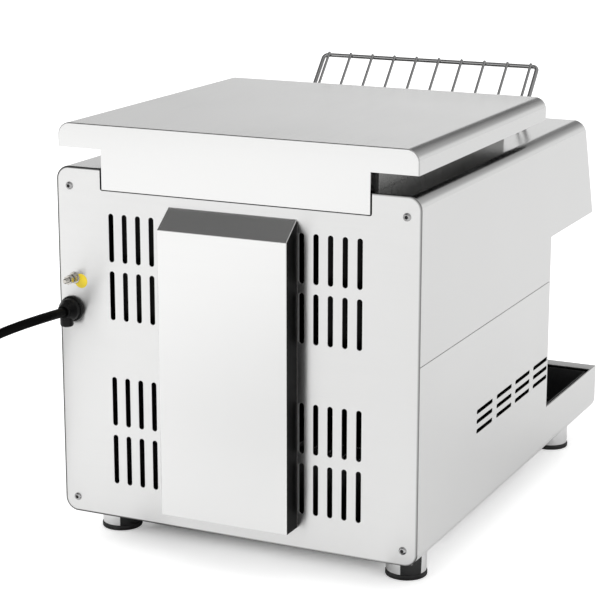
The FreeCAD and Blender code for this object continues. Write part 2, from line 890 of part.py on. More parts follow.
def make_idler_shaft():
    return rod_across(-shaft_end, shaft_end, idler_depth, shaft_height, shaft_radius)


# Drive

def make_sprocket(depth, z, radius, bore, teeth):
    middle = sum(chain_place) / 2
    disc = rod_across(middle - sprocket_half_width, middle + sprocket_half_width, depth, z, radius)
    notch_ring = radius + tooth_notch_radius / 4
    notches = []
    for i in range(teeth):
        angle = 2 * math.pi * i / teeth
        notch_depth = depth + notch_ring * math.cos(angle)
        notch_z = z + notch_ring * math.sin(angle)
        notches.append(rod_across(middle - 3, middle + 3, notch_depth, notch_z, tooth_notch_radius))
    hub_ends = (middle - sprocket_hub_half_width, middle + sprocket_hub_half_width)
    hub = rod_across(*hub_ends, depth, z, bore + sprocket_hub_wall)
    body = fused([disc.cut(notches), hub])
    return body.cut(rod_across(middle - 9, middle + 9, depth, z, bore))


def make_drive_chain():
    return loop_band((drive_depth, shaft_height), shaft_chain_radius, (motor_depth, motor_height),
                     motor_chain_radius, chain_thickness, *chain_place)


def make_gearmotor():
    gearbox = block((gearbox_start_x, chamber_half_width),
                    (motor_depth - gearbox_half_depth, motor_depth + gearbox_half_depth),
                    (motor_height - gearbox_half_height, motor_height + gearbox_half_height))
    long_edges = [edge for edge in gearbox.Edges if edge.BoundBox.XLength > 1]
    gearbox = gearbox.makeFillet(gearbox_bend, long_edges)
    can_start, can_radius = motor_can
    cap_start, cap_radius = motor_cap
    can = rod_across(can_start, gearbox_start_x, motor_depth, motor_height, can_radius)
    cap = rod_across(cap_start, can_start, motor_depth, motor_height, cap_radius)
    bore_radius = motor_shaft_radius + running_gap
    bore = rod_across(motor_shaft_x[0] - 1, wall_outside, motor_depth, motor_height, bore_radius)
    return fused([gearbox, can, cap]).cut(bore)


def make_motor_shaft():
    return rod_across(*motor_shaft_x, motor_depth, motor_height, motor_shaft_radius)


# Cooling fan

def make_fan_frame():
    front = sheet + fan_thickness
    frame = block((-fan_half, fan_half), (sheet, front), (fan_height - fan_half, fan_height + fan_half))
    corners = [edge for edge in frame.Edges if edge.BoundBox.YLength > 10]
    frame = frame.makeFillet(fan_corner_bend, corners)
    frame = frame.cut(rod_deep(0, 0, front + 1, fan_height, fan_hole_radius))
    strut_depths = (front - fan_strut_thickness, front)
    pieces = [frame, rod_deep(0, *strut_depths, fan_height, fan_motor_radius)]
    for i in range(4):
        angle = math.pi * (0.25 + i / 2)
        strut_heights = (-fan_strut_half_width, fan_strut_half_width)
        strut = block((fan_motor_radius / 2, fan_hole_radius + 2), strut_depths, strut_heights)
        strut.rotate(V(0, 0, 0), V(0, 1, 0), math.degrees(angle))
        strut.translate(V(0, 0, fan_height))
        pieces.append(strut)
    pieces.append(rod_deep(0, fan_hub_depths[0] + 3, front - 1, fan_height, fan_axle_radius))
    return fused(pieces)


def make_fan_rotor():
    hub = rod_deep(0, *fan_hub_depths, fan_height, fan_hub_radius)
    pieces = [hub]
    length, width, thickness = fan_blade_size
    for i in range(fan_blades):
        blade = Part.makeBox(length, width, thickness, V(fan_blade_start, -width / 2, -thickness / 2))
        blade.rotate(V(0, 0, 0), V(1, 0, 0), fan_blade_twist)
        blade.rotate(V(0, 0, 0), V(0, 1, 0), 360.0 * i / fan_blades)
        blade.translate(V(0, y_at(fan_middle_depth), fan_height))
        pieces.append(blade)
    rotor = fused(pieces)
    bore_depths = (fan_hub_depths[0] + 2, fan_hub_depths[1] + 2)
    return rotor.cut(rod_deep(0, *bore_depths, fan_height, fan_axle_radius + running_gap))


def make_fan_guard():
    pieces = []
    for radius in guard_rings:
        centre = V(0, y_at(guard_depth), fan_height)
        pieces.append(Part.makeTorus(radius, guard_wire_radius, centre, V(0, 1, 0)))
    for angle in (45, 135):
        bar = rod(V(-guard_bar_reach, 0, 0), V(guard_bar_reach, 0, 0), guard_wire_radius)
        bar.rotate(V(0, 0, 0), V(0, 1, 0), angle)
        bar.translate(V(0, y_at(guard_depth - guard_bar_step), fan_height))
        pieces.append(bar)
    return fused(pieces)


# Controls, modelled flat and then set on the control panel

def make_knob(place):
    """Fluted knob with its spindle, which turns in the control behind the panel."""
    skirt_radius, skirt_start, skirt_height = knob_skirt
    low_radius, high_radius, grip_height = knob_grip
    grip_start = skirt_start + skirt_height
    skirt = Part.makeCylinder(skirt_radius, skirt_height, V(0, 0, skirt_start))
    grip = Part.makeCone(low_radius, high_radius, grip_height, V(0, 0, grip_start))
    width, length, height = knob_pointer
    pointer = Part.makeBox(width, length, height, V(-width / 2, 1.0, grip_start + grip_height - fit_gap))
    knob = fused([skirt, grip, pointer])
    flutes = []
    for i in range(knob_flutes):
        angle = 2 * math.pi * (i + 0.5) / knob_flutes
        spot = V(knob_flute_ring * math.cos(angle), knob_flute_ring * math.sin(angle), grip_start + 1)
        flutes.append(Part.makeCylinder(knob_flute_radius, 2 * grip_height, spot))
    spindle_length = spindle_depth + 1.5 * skirt_start
    spindle = Part.makeCylinder(spindle_radius, spindle_length, V(0, 0, -spindle_depth))
    return on_panel(fused([knob.cut(flutes), spindle]), *place)


def make_control_body(place, width, length):
    """Body of a rotary control behind the panel, with the bush that its spindle turns in."""
    back = -sheet
    body = Part.makeBox(width, width, length, V(-width / 2, -width / 2, back - length))
    bush = Part.makeCylinder(control_hole_radius - 2 * fit_gap, sheet + 0.6, V(0, 0, back))
    bore = Part.makeCylinder(spindle_radius + running_gap, spindle_depth + 3.0, V(0, 0, -spindle_depth - 1.0))
    return on_panel(fused([body, bush]).cut(bore), *place)


def make_power_switch():
    width, height = switch_hole
    wide, high, thick = switch_bezel
    play = 2 * fit_gap
    bezel = Part.makeBox(wide, high, thick, V(-wide / 2, -high / 2, 0))
    corner = V(play - width / 2, play - height / 2, -switch_depth)
    body = Part.makeBox(width - 2 * play, height - 2 * play, switch_depth + thick / 2, corner)
    well_width, well_height, well_reach = switch_well
    well_corner = V(-well_width / 2, -well_height / 2, -well_reach)
    well = Part.makeBox(well_width, well_height, well_reach + 2 * thick, well_corner)
    pin_end = V(well_width / 2 + 0.5, 0, 0)
    pin_middle = V(0, 0, -rocker_pin_depth)
    pin = rod(pin_middle - pin_end, pin_middle + pin_end, rocker_pin_radius)
    return on_panel(fused([fused([bezel, body]).cut(well), pin]), *switch_place)


def make_power_rocker():
    """Rocker with a dished face, stored tipped to its off side."""
    points = [V(-rocker_half_length, across, out) for across, out in rocker_section]
    face = Part.Face(Part.makePolygon(points + points[:1]))
    rocker = face.extrude(V(2 * rocker_half_length, 0, 0))
    pin_line = V(0, 0, -rocker_pin_depth)
    bore_end = V(rocker_half_length + 1, 0, 0)
    bore = rod(pin_line - bore_end, pin_line + bore_end, rocker_pin_radius + running_gap)
    rocker = rocker.cut(bore)
    rocker.rotate(pin_line, V(1, 0, 0), -rocker_tip)
    return on_panel(rocker, *switch_place)


def make_indicator_lamp():
    flange_radius, flange_height = lamp_flange
    dome_radius, dome_centre = lamp_dome
    body = Part.makeCylinder(lamp_hole_radius - fit_gap, lamp_length, V(0, 0, -lamp_length))
    flange = Part.makeCylinder(flange_radius, flange_height, V(0, 0, 0))
    above = Part.makeCylinder(dome_radius, 2 * dome_radius, V(0, 0, flange_height - fit_gap))
    dome = Part.makeSphere(dome_radius, V(0, 0, dome_centre)).common(above)
    return on_panel(fused([body, flange, dome]), *lamp_place)


# Trays

def make_crumb_tray():
    near, far = crumb_depths
    low, high = crumb_heights
    side = crumb_half_width
    outer = block((-side, side), crumb_depths, crumb_heights)
    thick = crumb_sheet
    inner = block((thick - side, side - thick), (near + thick, far - thick), (low + thick, high + 1))
    across = (-crumb_grip_half_width, crumb_grip_half_width)
    end = far + crumb_grip_reach
    grip = block(across, (far, end), (high - wall, high))
    grip_fold = block(across, (end - wall, end), (high - crumb_grip_fold, high))
    return fused([outer.cut(inner), grip, grip_fold])


def make_crumb_rails():
    rails = []
    low = crumb_heights[0] - rail_gap
    for side in (-1, 1):
        shelf_x = sorted((side * rail_inner_x, side * chamber_half_width))
        shelf = block(shelf_x, crumb_depths, (low - wall, low))
        leg_x = sorted((side * (chamber_half_width - wall), side * chamber_half_width))
        leg = block(leg_x, crumb_depths, (low - rail_drop, low))
        rails.append(fused([shelf, leg]))
    return rails


def make_toast_tray():
    near, far = tray_depths
    low, high = tray_heights
    side = tray_half_width

    def pan(inset, top):
        reach = side - inset
        pairs = [(-reach, top), (-reach, low + inset), (reach, low + inset), (reach, top)]
        return prism_deep(pairs, near + inset, far - inset, [0, tray_bend - inset, tray_bend - inset, 0])

    return pan(0, high).cut(pan(tray_sheet, high + 5))


# Feet

def make_foot_sleeves():
    sleeves = []
    for side, depth in four_corners(foot_depths):
        x = side * foot_x
        cup = rod_up(x, depth, foot_pad_height, foot_height, foot_sleeve_radius)
        hollow = rod_up(x, depth, foot_pad_height - 1, foot_height - foot_cap, foot_core_radius)
        hole = rod_up(x, depth, foot_height - 5, foot_height + 1, foot_hole_radius)
        sleeves.append(cup.cut([hollow, hole]))
    return sleeves


def make_foot_pads():
    pads = []
    for side, depth in four_corners(foot_depths):
        x = side * foot_x
        base = rod_up(x, depth, 0, foot_pad_height, foot_pad_radius)
        core = rod_up(x, depth, foot_pad_height - 1, foot_height - foot_cap, foot_core_radius)
        recess = rod_up(x, depth, -1, foot_head_heights[1], foot_recess_radius)
        hole = rod_up(x, depth, foot_head_heights[0], foot_height, foot_hole_radius)
        pads.append(fused([base, core]).cut([recess, hole]))
    return pads


def make_foot_screws():
    pieces = []
    nut_top = inside_floor + foot_nut_height
    for side, depth in four_corners(foot_depths):
        x = side * foot_x
        head = rod_up(x, depth, *foot_head_heights, foot_head_radius)
        shank = rod_up(x, depth, foot_head_heights[1], nut_top, foot_screw_radius)
        pieces.append(fused([head, shank]))
        seat = V(x, y_at(depth), inside_floor)
        hexagon = hex_prism(seat, V(0, 0, 1), foot_nut_half_width, foot_nut_height)
        pieces.append(hexagon.cut(rod_up(x, depth, inside_floor - 1, nut_top + 1, foot_screw_radius)))
    return pieces


def hex_prism(centre, axis, flat_radius, height):
    """Six-sided nut blank, given half its width across flats."""
    corner_radius = flat_radius / math.cos(math.radians(30))
    points = []
    for i in range(7):
        angle = math.radians(60 * i)
        points.append(V(corner_radius * math.cos(angle), corner_radius * math.sin(angle), 0))
    prism = Part.Face(Part.makePolygon(points)).extrude(V(0, 0, height))
    placement = FreeCAD.Placement(centre, FreeCAD.Rotation(V(0, 0, 1), axis))
    return prism.transformed(placement.toMatrix(), True)


# Electrics

def make_terminal_block():
    body = block((wall_outside, block_end_x), block_depths, block_heights)
    middle_depth = sum(block_depths) / 2
    top = block_heights[1]
    wells = []
    for x in block_wells:
        wells.append(rod_up(x, middle_depth, top - well_depth, top + 1, well_radius))
    return body.cut(wells)


def make_supply_leads():
    leads = []
    end_height = sum(block_heights) / 2
    first, second, third, last = lead_wire_depths
    for i, end_x in enumerate(block_wells):
        start_x = gland_x + (i - 1) * lead_wire_pitch
        spots = [V(start_x, y_at(first), gland_height), V(start_x, y_at(second), gland_height),
                 V(end_x, y_at(third), end_height), V(end_x, y_at(last), end_height)]
        leads.append(tube(rounded_edges(spots, [0, lead_wire_bend, lead_wire_bend, 0]), lead_wire_radius))
    return leads


def make_cable_gland():
    flange_radius, flange_end = gland_flange
    body_radius, body_end = gland_body
    flange = rod_deep(gland_x, 0, -flange_end, gland_height, flange_radius)
    body = rod_deep(gland_x, -flange_end, -body_end, gland_height, body_radius)
    taper_start = V(gland_x, y_at(-body_end), gland_height)
    taper = Part.makeCone(body_radius, gland_mouth_radius, gland_reach - body_end, taper_start, V(0, 1, 0))
    lug_low, lug_high = gland_lug_heights
    lug = rod_up(gland_x + 1, -gland_lug_reach, gland_height + lug_low, gland_height + lug_high,
                 gland_lug_radius)
    thread_radius, thread_depth = gland_thread
    nut_half, nut_depth = gland_nut
    thread = rod_deep(gland_x, thread_depth, 0, gland_height, thread_radius)
    nut = hex_prism(V(gland_x, y_at(nut_depth), gland_height), V(0, 1, 0), nut_half, nut_depth - sheet)
    return fused([flange, body, taper, lug, thread, nut])


def make_earth_stud():
    return rod_deep(stud_x, *stud_depths, stud_height, stud_radius)


def make_earth_nuts():
    pieces = []
    washer = rod_deep(stud_x, 0, -washer_thickness, stud_height, washer_radius)
    bore = rod_deep(stud_x, *stud_depths, stud_height, stud_radius)
    pieces.append(washer.cut(bore))
    for outer_depth in nut_outer_depths:
        seat = V(stud_x, y_at(outer_depth + nut_thickness), stud_height)
        nut = hex_prism(seat, V(0, 1, 0), nut_half_width, nut_thickness)
        pieces.append(nut.cut(bore))
    return pieces


# Supply cord: its free stretch, a tied coil on the floor beyond it, a short tail and the plug
coil_centre = (326.0, 300.0)
coil_outer_radius = 58.0
coil_step = 4.9
coil_low = cord_radius + 1.3
coil_layer_rise = 9.6
coil_stub = 2 * cord_radius
tail_end = (386.0, 207.0, 19.0)
tie_half_width = 4.0
tie_thickness = 1.0
tie_gap = 0.3
tie_side_gap = 1.2
plug_length = 46.0
plug_radius = 19.0
plug_relief = (6.0, 8.5, 14.0)
plug_neck_length = 12.0
pin_radius = 2.4
pin_length = 19.0
pin_offset = 9.5
pin_tip_bend = 1.5

lead_route = [
    (gland_x, rear_y + gland_reach, gland_height),
    (171.2, 292.0, 233.2),
    (175.8, 310.4, 232.6),
    (186.0, 327.6, 229.4),
    (201.6, 341.4, 222.6),
    (220.6, 350.4, 211.0),
    (238.0, 354.8, 193.0),
    (250.0, 355.6, 168.5),
    (256.8, 355.0, 139.0),
    (259.4, 354.5, 108.5),
    (259.8, 354.8, 83.0),
    (259.6, 355.8, 60.5),
    (260.6, 357.0, 39.0),
    (272.4, 358.0, 17.6),
    (292.8, 358.0, coil_low),
    (317.0, 358.0, coil_low),
]


def cord_arcs(route, name):
    """Edges of a cord's free stretch, each bend as large as its two runs allow."""
    points = [V(*spot) for spot in route]
    radii = [0]
    for i in range(1, len(points) - 1):
        before = (points[i] - points[i - 1]).Length
        after = (points[i + 1] - points[i]).Length
        turn = turn_at(points[i - 1], points[i], points[i + 1])
        radii.append(0.45 * min(before, after) / math.tan(turn / 2))
    radii.append(0)
    print(name, "bend radii", [round(radius) for radius in radii[1:-1]])
    return rounded_edges(points, radii)


def report_tube(name, solid, edges):
    length = sum(edge.Length for edge in edges)
    expected = math.pi * cord_radius ** 2 * length
    print(name, "length", round(length, 1), "volume ratio", round(solid.Volume / expected, 4))


def half_turn_arcs(start, end, bulge):
    """Half turn from start to end, as two quarter arcs that share any climb evenly."""
    reach = bulge * ((end - start).Length / 2)
    first_corner = start + reach
    second_corner = end + reach
    middle = (first_corner + second_corner) * 0.5
    return [tangent_arc(start, first_corner, middle), tangent_arc(middle, second_corner, end)]


def coil_edges():
    """Flat spiral of half turns inwards, one half turn that climbs, and a spiral out above it."""
    x, y = coil_centre
    inward = [coil_outer_radius - coil_step * i for i in range(4)]
    climb = coil_outer_radius - coil_step * 4
    outward = [climb + coil_step * (i + 1) for i in range(3)]
    spot = V(x, y + coil_outer_radius, coil_low)
    edges = [Part.LineSegment(spot - V(coil_stub, 0, 0), spot).toShape()]
    heading = 1
    for i, radius in enumerate(inward + [climb] + outward):
        rise = coil_layer_rise if i == len(inward) else 0.0
        following = spot + V(0, -2 * radius * heading, rise)
        edges.extend(half_turn_arcs(spot, following, V(heading, 0, 0)))
        spot = following
        heading = -heading
    quarter_end = V(x + coil_outer_radius, spot.y - coil_outer_radius, spot.z)
    corner = V(x + coil_outer_radius, spot.y, spot.z)
    edges.append(tangent_arc(spot, corner, quarter_end))
    edges.append(Part.LineSegment(quarter_end, quarter_end - V(0, coil_stub, 0)).toShape())
    return edges


def least_gap(edges):
    """Smallest distance between turns of the coil, measured on points along its middle line."""
    points = []
    step = 4.0
    for edge in edges:
        points.extend(edge.discretize(max(2, int(edge.Length / step)))[:-1])
    smallest = 1e9
    apart = 16
    for i in range(len(points)):
        for j in range(i + apart, len(points)):
            smallest = min(smallest, points[i].distanceToPoint(points[j]))
    return smallest - 2 * cord_radius


def make_cord_lead():
    edges = cord_arcs(lead_route, "cord lead")
    solid = tube(edges, cord_radius)
    report_tube("cord lead", solid, edges)
    return solid


def make_cord_coil():
    edges = coil_edges()
    solid = tube(edges, cord_radius)
    report_tube("cord coil", solid, edges)
    print("cord coil least gap", round(least_gap(edges), 2))
    return solid


def make_cord_tail():
    start = coil_edges()[-1].Vertexes[-1].Point
    route = [tuple(start), (384.3, 272.0, 15.6), (386.5, 252.0, 16.6), (387.5, 229.0, 18.2), tail_end]
    edges = cord_arcs(route, "cord tail")
    solid = tube(edges, cord_radius)
    report_tube("cord tail", solid, edges)
    return solid


def make_coil_tie():
    """Flat strap round the four strands on the coil's near side."""
    edge_x = coil_centre[0] - coil_outer_radius
    strand_x = [edge_x + coil_step, edge_x + 3 * coil_step]
    strap = tie_thickness
    around = cord_radius + tie_side_gap
    over = cord_radius + tie_gap
    x = (min(strand_x) - around, max(strand_x) + around)
    z = (coil_low - over, coil_low + coil_layer_rise + over)
    y = (coil_centre[1] - tie_half_width, coil_centre[1] + tie_half_width)
    hollow = Part.makeBox(x[1] - x[0], y[1] - y[0] + 2, z[1] - z[0], V(x[0], y[0] - 1, z[0]))
    outer = Part.makeBox(x[1] - x[0] + 2 * strap, y[1] - y[0], z[1] - z[0] + 2 * strap,
                         V(x[0] - strap, y[0], z[0] - strap))
    return outer.cut(hollow)


def make_plug_body():
    """Round moulded plug with a tapered cord relief, lying on the floor and pointing forward."""
    x, y, z = tail_end
    forward = V(0, -1, 0)
    thin, thick, relief_length = plug_relief
    relief = Part.makeCone(thin, thick, relief_length, V(x, y, z), forward)
    neck = Part.makeCone(thick, plug_radius, plug_neck_length, V(x, y - relief_length, z), forward)
    start = relief_length + plug_neck_length
    body = Part.makeCylinder(plug_radius, plug_length - start, V(x, y - start, z), forward)
    return fused([relief, neck, body])


def make_plug_pins():
    x, y, z = tail_end
    face = y - plug_length
    pins = []
    for side in (-1, 1):
        pin = Part.makeCylinder(pin_radius, pin_length, V(x + pin_offset * side, face, z), V(0, -1, 0))
        tip = [edge for edge in pin.Edges if abs(edge.CenterOfMass.y - (face - pin_length)) < 1e-4]
        pins.append(pin.makeFillet(pin_tip_bend, tip))
    return pins


def save(name, shapes):
    """Writes one piece, or a group of like pieces, under its node name."""
    if not isinstance(shapes, list):
        shapes = [shapes]
    solids = [solid for shape in shapes for solid in shape.Solids]
    result = solids[0] if len(solids) == 1 else Part.makeCompound(solids)
    if not result.isValid():
        print("not valid:", name)
    result.exportStep("parts/" + name + ".step")
    print(name, len(solids), "solid(s)")


def main():
    os.makedirs("parts", exist_ok=True)
    save("base_shell", make_base_shell())
    save("upper_cover_right", make_upper_cover(1))
    save("upper_cover_left", make_upper_cover(-1))
    save("rear_panel", make_rear_panel())
    save("rear_panel_screws", make_rear_panel_screws())
    save("top_cover", make_top_cover())
    save("rear_hood", make_rear_hood())
    save("control_panel", make_control_panel())
    save("chamber_wall_right", make_chamber_wall(1))
    save("chamber_wall_left", make_chamber_wall(-1))
    save("upper_reflector", make_upper_reflector())
    save("toast_slide", make_toast_slide())
    save("feed_baffle", make_feed_baffle())
    save("feed_rack", make_feed_rack())
    save("rack_hooks", make_rack_hooks())
    for i, depth in enumerate(upper_element_depths):
        save("upper_element_" + str(i + 1), make_element(depth, upper_element_height))
    for i, depth in enumerate(lower_element_depths):
        save("lower_element_" + str(i + 1), make_element(depth, lower_element_height))
    save("element_holders", make_element_holders())
    save("conveyor_belt", make_conveyor_belt())
    save("drive_shaft", make_drive_shaft())
    save("drive_belt_wheels", make_belt_wheels(drive_depth))
    save("idler_shaft", make_idler_shaft())
    save("idler_belt_wheels", make_belt_wheels(idler_depth))
    save("shaft_bushes", make_shaft_bushes())
    shaft_tip = shaft_chain_radius - sprocket_clearance
    save("drive_sprocket", make_sprocket(drive_depth, shaft_height, shaft_tip, shaft_radius, shaft_teeth))
    motor_tip = motor_chain_radius - sprocket_clearance
    motor_wheel = make_sprocket(motor_depth, motor_height, motor_tip, motor_shaft_radius, motor_teeth)
    save("motor_sprocket", motor_wheel)
    save("drive_chain", make_drive_chain())
    save("gearmotor", make_gearmotor())
    save("motor_shaft", make_motor_shaft())
    save("fan_frame", make_fan_frame())
    save("fan_rotor", make_fan_rotor())
    save("fan_guard", make_fan_guard())
    save("speed_knob", make_knob(speed_place))
    save("speed_potentiometer", make_control_body(speed_place, *speed_body))
    save("heat_knob", make_knob(heat_place))
    save("heat_selector", make_control_body(heat_place, *heat_body))
    save("power_switch", make_power_switch())
    save("power_rocker", make_power_rocker())
    save("indicator_lamp", make_indicator_lamp())
    save("crumb_tray", make_crumb_tray())
    save("crumb_tray_rails", make_crumb_rails())
    save("toast_tray", make_toast_tray())
    save("foot_sleeves", make_foot_sleeves())
    save("foot_pads", make_foot_pads())
    save("foot_screws", make_foot_screws())
    save("terminal_block", make_terminal_block())
    save("supply_leads", make_supply_leads())
    save("cable_gland", make_cable_gland())
    save("earth_stud", make_earth_stud())
    save("earth_nuts", make_earth_nuts())
    save("cord_lead", make_cord_lead())
    save("cord_coil", make_cord_coil())
    save("cord_tail", make_cord_tail())
    save("coil_tie", make_coil_tie())
    save("plug_body", make_plug_body())
    save("plug_pins", make_plug_pins())


main()
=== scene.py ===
import json
import math

import bmesh
import bpy
import numpy as np
from mathutils import Matrix, Vector


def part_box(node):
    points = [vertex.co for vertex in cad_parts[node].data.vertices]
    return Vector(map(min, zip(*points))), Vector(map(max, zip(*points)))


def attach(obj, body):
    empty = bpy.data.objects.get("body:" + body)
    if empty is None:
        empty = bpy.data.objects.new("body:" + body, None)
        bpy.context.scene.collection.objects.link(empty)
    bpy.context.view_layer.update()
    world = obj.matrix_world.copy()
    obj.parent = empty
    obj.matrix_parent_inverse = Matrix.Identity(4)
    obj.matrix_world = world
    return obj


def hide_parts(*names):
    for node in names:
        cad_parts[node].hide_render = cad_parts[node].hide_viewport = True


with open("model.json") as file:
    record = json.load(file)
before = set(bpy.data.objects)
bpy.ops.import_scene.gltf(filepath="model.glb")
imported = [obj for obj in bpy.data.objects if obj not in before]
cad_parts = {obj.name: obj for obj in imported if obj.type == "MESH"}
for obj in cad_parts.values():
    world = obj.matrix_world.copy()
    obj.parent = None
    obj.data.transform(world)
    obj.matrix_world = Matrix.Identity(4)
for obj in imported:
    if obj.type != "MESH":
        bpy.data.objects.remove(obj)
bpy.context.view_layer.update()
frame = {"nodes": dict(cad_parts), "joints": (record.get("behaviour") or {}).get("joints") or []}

print("frame:", len(frame["nodes"]), "nodes")

# Piece settings are in millimetres, and putMesh turns them into metres.
metre = 0.001
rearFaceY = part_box("rear_panel")[1].y / metre
upZ = np.array([0.0, 0.0, 1.0])
outRear = np.array([0.0, 1.0, 0.0])

# Camera, light and floor

studio = {
    "eye": (-0.80526, 1.81988, 0.70049),   # metres
    "yaw": 25.262,                         # degrees from straight at the rear panel
    "pitch": 14.122,                       # degrees downwards
    "lens": 119.47,
    "floorSize": 30.0,
    "floorColor": (0.97, 0.97, 0.97, 1.0),
    "floorLift": 0.44,                     # to the eye, so that the lit floor is plain white
    "mirrorLift": 0.065,                   # the same in mirrors and glass
    "mirrorDim": (0.25, -0.3, 0.87),       # mirrors see the floor beyond the casing dimmer: Y range, level
    "worldLevel": 0.94,                    # light on matt surfaces
    "ceilingLevels": (-0.35, 0.15, 0.55, 0.16),     # what polished surfaces see overhead: X range, levels
    "ceilingStart": 0.20,                  # height of the view ray where the ceiling starts
    "ceilingEnd": 0.32,
    "openSides": [                         # where the bright wall is higher (or lower): axis, way, start, share
        ("X", -1.0, 0.0, -0.18),
        ("X", 1.0, 0.5, 0.8),
        ("Y", 1.0, 0.0, 0.45),
    ],
    "frontLight": (0.46, 0.56, 0.8),       # soft light high in front: start and end of its height, level
    "frontReach": (0.35, 0.6),             # start and end of -Y
    "zenith": (0.92, 0.97, 0.6),           # soft light straight above: start and end of its height, level
    "farWall": (0.25, 0.75, 0.79),         # wall beyond the feed rack: start and end of -Y, level
    "wallTurn": (0.3, 0.58, 1.03, 0.84),   # the same wall from left to right: X range, levels
    "footprint": (0.15, 0.24, -0.011),     # floor under the casing is not lifted: half width, half depth, middle
    "deepShade": (0.13, 0.11, 0.03, 0.05),      # darkest floor there: half width, half depth, fade, tone
    "mirrorTurn": (0.05, 0.6, 0.85, 1.08),      # mirrors see the floor behind from right to left: X range, levels
    "mirrorNear": (0.35, 0.85, 0.23),        # and brighter close behind: Y range, extra
    "behind": (0.25, 0.4),                 # Y where that floor starts
    "footShade": [                         # floor patches beside the rear feet that mirrors see dark
        [(-0.1539, 0.2231), (-0.1359, 0.3010), (-0.188, 0.303), (-0.235, 0.269), (-0.257, 0.213),
         (-0.2412, 0.1740), (-0.1702, 0.2108)],
        [(0.1451, 0.2217), (0.1249, 0.2991), (0.100, 0.296), (0.066, 0.262), (0.050, 0.210), (0.066, 0.150),
         (0.145, 0.1187), (0.1344, 0.1980)],
    ],
}


def lookFrom(eye, yaw, pitch):
    # columns: right, up, backwards
    turn, dip = math.radians(yaw), math.radians(pitch)
    ahead = Vector((math.sin(turn) * math.cos(dip), -math.cos(turn) * math.cos(dip), -math.sin(dip)))
    right = Vector((-math.cos(turn), -math.sin(turn), 0.0))
    up = right.cross(ahead)
    matrix = Matrix((right, up, -ahead)).transposed().to_4x4()
    matrix.translation = Vector(eye)
    return matrix


def addCamera():
    data = bpy.data.cameras.new("photoCamera")
    data.lens = studio["lens"]
    data.sensor_width = 36.0
    data.clip_start = 0.05
    camera = bpy.data.objects.new("photoCamera", data)
    camera.matrix_world = lookFrom(studio["eye"], studio["yaw"], studio["pitch"])
    bpy.context.scene.collection.objects.link(camera)
    bpy.context.scene.camera = camera


def nodeMath(tree, operation, first, second=None, clamp=False):
    # one Math node; numbers go on its sockets and node outputs are linked
    node = tree.nodes.new("ShaderNodeMath")
    node.operation = operation
    node.use_clamp = clamp
    for socket, value in zip(node.inputs, (first, second)):
        if value is None:
            continue
        if isinstance(value, (int, float)):
            socket.default_value = value
        else:
            tree.links.new(value, socket)
    return node.outputs[0]


def nodeRange(tree, value, low, high, toLow, toHigh, smooth=True):
    node = tree.nodes.new("ShaderNodeMapRange")
    node.interpolation_type = "SMOOTHSTEP" if smooth else "LINEAR"
    tree.links.new(value, node.inputs["Value"])
    for name, number in zip(("From Min", "From Max", "To Min", "To Max"), (low, high, toLow, toHigh)):
        node.inputs[name].default_value = number
    return node.outputs[0]


def nodeMix(tree, amount, first, second):
    # plain number mix: first x (1 - amount) + second x amount
    node = tree.nodes.new("ShaderNodeMix")
    tree.links.new(amount, node.inputs[0])
    for socket, value in zip((node.inputs[2], node.inputs[3]), (first, second)):
        if isinstance(value, (int, float)):
            socket.default_value = value
        else:
            tree.links.new(value, socket)
    return node.outputs[0]


def colorMix(tree, amount, first, second):
    node = tree.nodes.new("ShaderNodeMix")
    node.data_type = "RGBA"
    tree.links.new(amount, node.inputs[0])
    for socket, value in zip((node.inputs[6], node.inputs[7]), (first, second)):
        if isinstance(value, tuple):
            socket.default_value = (*value, 1.0)
        else:
            tree.links.new(value, socket)
    return node.outputs[2]


def addWorld():
    # white to the camera, a pale room with a dark ceiling in polished metal, one plain level for matt surfaces
    world = bpy.data.worlds.new("studioRoom")
    bpy.context.scene.world = world
    world.use_nodes = True
    tree = world.node_tree
    background = tree.nodes["Background"]
    background.inputs["Color"].default_value = (1.0, 1.0, 1.0, 1.0)
    direction = tree.nodes.new("ShaderNodeTexCoord")
    split = tree.nodes.new("ShaderNodeSeparateXYZ")
    tree.links.new(direction.outputs["Generated"], split.inputs[0])
    height = split.outputs["Z"]
    for axis, way, start, share in studio["openSides"]:
        past = nodeMath(tree, "SUBTRACT", nodeMath(tree, "MULTIPLY", split.outputs[axis], way), start)
        past = nodeMath(tree, "MAXIMUM", past, 0.0)
        height = nodeMath(tree, "SUBTRACT", height, nodeMath(tree, "MULTIPLY", past, share))
    ceiling = nodeRange(tree, split.outputs["X"], *studio["ceilingLevels"])
    overhead = nodeRange(tree, height, studio["ceilingStart"], studio["ceilingEnd"], 0.0, 1.0)
    room = nodeMix(tree, overhead, 1.0, ceiling)
    start, end, level = studio["farWall"]
    room = nodeMath(tree, "MULTIPLY", room, nodeRange(tree, split.outputs["Y"], -end, -start, level, 1.0))
    room = nodeMath(tree, "MULTIPLY", room, nodeRange(tree, split.outputs["X"], *studio["wallTurn"]))
    start, end, level = studio["frontLight"]
    front = nodeRange(tree, split.outputs["Z"], start, end, 0.0, level)
    near, far = studio["frontReach"]
    front = nodeMath(tree, "MULTIPLY", front, nodeRange(tree, split.outputs["Y"], -far, -near, 1.0, 0.0))
    start, end, level = studio["zenith"]
    above = nodeRange(tree, split.outputs["Z"], start, end, 0.0, level)
    room = nodeMath(tree, "MAXIMUM", nodeMath(tree, "MAXIMUM", room, front), above)
    path = tree.nodes.new("ShaderNodeLightPath")
    polished = nodeMix(tree, path.outputs["Is Glossy Ray"], studio["worldLevel"], room)
    clear = nodeMath(tree, "MAXIMUM", path.outputs["Is Camera Ray"], path.outputs["Is Transmission Ray"])
    tree.links.new(nodeMix(tree, clear, polished, 1.0), background.inputs["Strength"])


